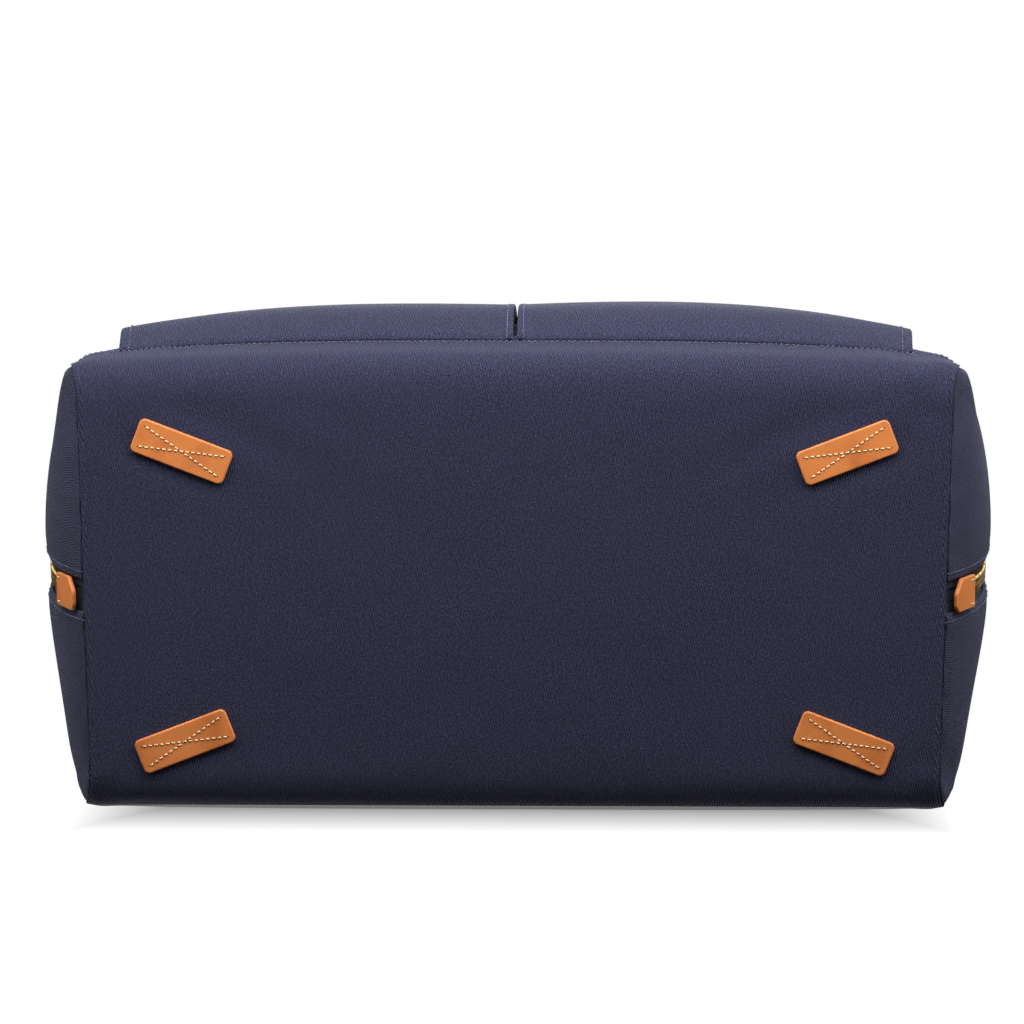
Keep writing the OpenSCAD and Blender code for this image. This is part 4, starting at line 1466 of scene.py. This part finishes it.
def pull():
    """Wire link and stitched leather pull."""
    pivot = np.array([SLIDER_X, ZIP_Y, LINK_Z])
    out = np.array([-math.cos(PULL_TILT), 0, -math.sin(PULL_TILT)])
    up = np.array([-math.sin(PULL_TILT), 0, math.cos(PULL_TILT)])
    side = np.cross(up, out)

    def put(points):
        points = np.asarray(points)
        return pivot + points[:, :1] * out + points[:, 1:2] * side + points[:, 2:3] * up

    outline = rounded_box(LINK_ARM, 2 * LINK_HALF, 0.0022, 6)
    wire = np.column_stack([outline[:, 0] + LINK_ARM / 2, outline[:, 1], np.zeros(len(outline))])
    wire = resample(np.concatenate([wire, wire[:1]]), 0.001)[:-1]
    points, faces = sweep(put(wire), circle(LINK_WIRE), up, closed=True)
    piece("pull_link_wire", points, faces, brass, "pull", ["pull_link"])
    half = [(0, PULL_NECK), (0.006, PULL_NECK), (0.010, PULL_WIDTH / 2), (PULL_LENGTH, PULL_WIDTH / 2)]
    outline = rounded_polygon([(x, -y) for x, y in half] + half[::-1], 0.0016)
    points, faces = slab(outline, PULL_THICK, 0.0007)
    points = points + [PULL_START, 0, -PULL_THICK / 2]
    piece("pull_tab_leather", put(points), faces, tan, "pull", ["pull_tab"])
    seam = Pile()
    far, edge = PULL_LENGTH - 0.003, PULL_WIDTH / 2 - 0.0026
    line = [(0.012, -edge), (far, -edge), (far, edge), (0.012, edge)]
    for layer in (-1, 1):
        for row in zip(line[:-1], line[1:]):
            ends = put([[PULL_START + x, y, layer * PULL_THICK / 2] for x, y in row])
            stitch_row(seam, ends, np.array([up * layer, up * layer]), pitch=0.0032, radius=0.0004)
    seam.build("pull_stitches", cream_thread, "pull", "tan_leather")


slider()
pull()


# ---------- Camera, floor and light ----------

TILT = math.radians(7.5)
TURN = math.radians(1.0)
VIEW_RANGE = 2.1
FRAME_WIDTH = 0.6006
LOOK_AT = Vector((-0.0011, ZIP_Y - 0.0512, 0.0))


def make_camera():
    """Camera that looks up at the base of the bag, with the front of the bag at the top of the picture."""
    data = bpy.data.cameras.new("camera")
    data.sensor_width = 36.0
    data.lens = data.sensor_width * VIEW_RANGE / FRAME_WIDTH
    data.clip_start = 0.05
    data.clip_end = 50.0
    camera = bpy.data.objects.new("camera", data)
    bpy.context.scene.collection.objects.link(camera)
    forward = Vector((-math.sin(TURN), math.sin(TILT), math.cos(TILT))).normalized()
    right = forward.cross(Vector((0.0, -1.0, 0.0))).normalized()
    up = right.cross(forward)
    turn = Matrix((right, up, -forward)).transposed().to_4x4()
    camera.matrix_world = Matrix.Translation(LOOK_AT - forward * VIEW_RANGE) @ turn
    bpy.context.scene.camera = camera


make_camera()


FLOOR_REACH = 6.0
FLOOR_Z = -0.0004
LYING_Y = float(SKIN["base"][-6, :, 1].max()) + 0.0010
STANDING_SHADE = 0.84
# Grey of the sheet behind the lying bag: painted contact shadow, fading out nearer the camera and to the
# sides.
PAINTED_SHADOW_GREY = 0.13
FADE_ROUND = (0.50, 1.30)
PAINTED_SHADOW_FADE_NEARER = (-0.006, 0.070)
PAINTED_SHADOW_FADE_ASIDE = (0.195, 0.255)
SURROUND = 0.045


def fade(s, distance, start, end):
    """0 up to the start distance, rising to 1 at the end distance."""
    return s.node("ShaderNodeMapRange", {"Value": distance, "From Min": start, "From Max": end}).outputs[0]


def floor_material(name, shade, standing):
    """Stage floor that fades into the white surroundings. The standing one is pale and can't be seen from
    below; the other is a dark grey sheet that paints the contact shadow under the lying bag and fades out
    away from it.
    """
    s = Shader(name)
    at = place_of(s)
    grain = s.noise(at, 300.0, 3.0)
    base = s.mix(s.math("MULTIPLY", grain, 0.4), (shade,) * 3, (0.95 * shade,) * 3)
    s.finish(Base_Color=base, Roughness=0.9, Specular_IOR_Level=0.1, Normal=s.bump(grain, 0.0002, 0.2))
    if standing:
        away = s.node("ShaderNodeVectorMath", {0: at}, operation="LENGTH").outputs["Value"]
        from_below = s.node("ShaderNodeNewGeometry").outputs["Backfacing"]
        gone = s.math("MAXIMUM", from_below, fade(s, away, *FADE_ROUND))
    else:
        # The sheet behind the lying bag: painted contact shadow, gone nearer the camera and beyond the bag's
        # sides.
        split = s.node("ShaderNodeSeparateXYZ", {0: at})
        nearer = s.math("MULTIPLY", split.outputs[2], -1.0)
        aside = s.math("ABSOLUTE", split.outputs[0])
        gone = s.math("MAXIMUM", fade(s, nearer, *PAINTED_SHADOW_FADE_NEARER), fade(s, aside, *PAINTED_SHADOW_FADE_ASIDE))
    clear = s.node("ShaderNodeBsdfTransparent")
    mixed = s.node("ShaderNodeMixShader", {0: gone, 1: s.bsdf.outputs[0], 2: clear.outputs[0]})
    s.links.new(mixed.outputs[0], s.nodes["Material Output"].inputs[0])
    return s.material


def make_floor(name, corners, shade, standing):
    """A stage plane that the camera sees, and that neither lights nor shades the bag."""
    floor = new_object(name, corners, [(0, 1, 2, 3)], floor_material(f"{name}_paint", shade, standing), False)
    floor.visible_diffuse = False
    floor.visible_glossy = False
    floor.visible_transmission = False
    floor.visible_shadow = False
    return floor


def make_floors():
    """The floor under the standing bag, and a dark grey sheet behind the back of the lying bag, which is
    painted contact shadow.
    """
    far = FLOOR_REACH
    ends = ((-far, -far), (far, -far), (far, far), (-far, far))
    stand = make_floor("standing_floor", [(x, y, FLOOR_Z) for x, y in ends], STANDING_SHADE, True)
    painted_shadow_sheet = make_floor("photo_floor", [(x, LYING_Y, min(z, FLOOR_Z)) for x, z in ends], PAINTED_SHADOW_GREY, False)


make_floors()


def area_light(name, place, aim, size, power):
    """Soft rectangular studio light."""
    data = bpy.data.lights.new(name, "AREA")
    data.shape = "RECTANGLE"
    data.size, data.size_y = size
    data.energy = power
    obj = bpy.data.objects.new(name, data)
    bpy.context.scene.collection.objects.link(obj)
    obj.location = place
    obj.rotation_euler = (Vector(aim) - Vector(place)).to_track_quat("-Z", "Y").to_euler()


def make_world():
    """White surroundings: full white to the camera, dimmer as a source of light."""
    world = bpy.data.worlds.new("studio")
    world.use_nodes = True
    nodes, links = world.node_tree.nodes, world.node_tree.links
    light_path = nodes.new("ShaderNodeLightPath")
    strength = nodes.new("ShaderNodeMapRange")
    strength.inputs["To Min"].default_value = SURROUND
    strength.inputs["To Max"].default_value = 1.0
    links.new(light_path.outputs["Is Camera Ray"], strength.inputs["Value"])
    links.new(strength.outputs["Result"], nodes["Background"].inputs["Strength"])
    nodes["Background"].inputs["Color"].default_value = (1.0, 1.0, 1.0, 1.0)
    bpy.context.scene.world = world


make_world()
bpy.context.scene.view_settings.view_transform = "Standard"
area_light("key", (0.0, -0.72, -0.32), (0.0, -0.02, 0.04), (1.9, 0.4), 19)
area_light("left", (-1.5, -0.5, -0.32), (0.0, 0.0, 0.10), (0.7, 0.5), 6)
area_light("right", (1.5, -0.5, -0.32), (0.0, 0.0, 0.10), (0.7, 0.5), 7)
area_light("top", (0.2, -0.5, 2.8), (0.0, 0.0, 0.1), (2.8, 2.8), 70)
area_light("rear", (-0.6, 2.2, 1.0), (0.0, 0.0, 0.15), (1.4, 1.4), 34)
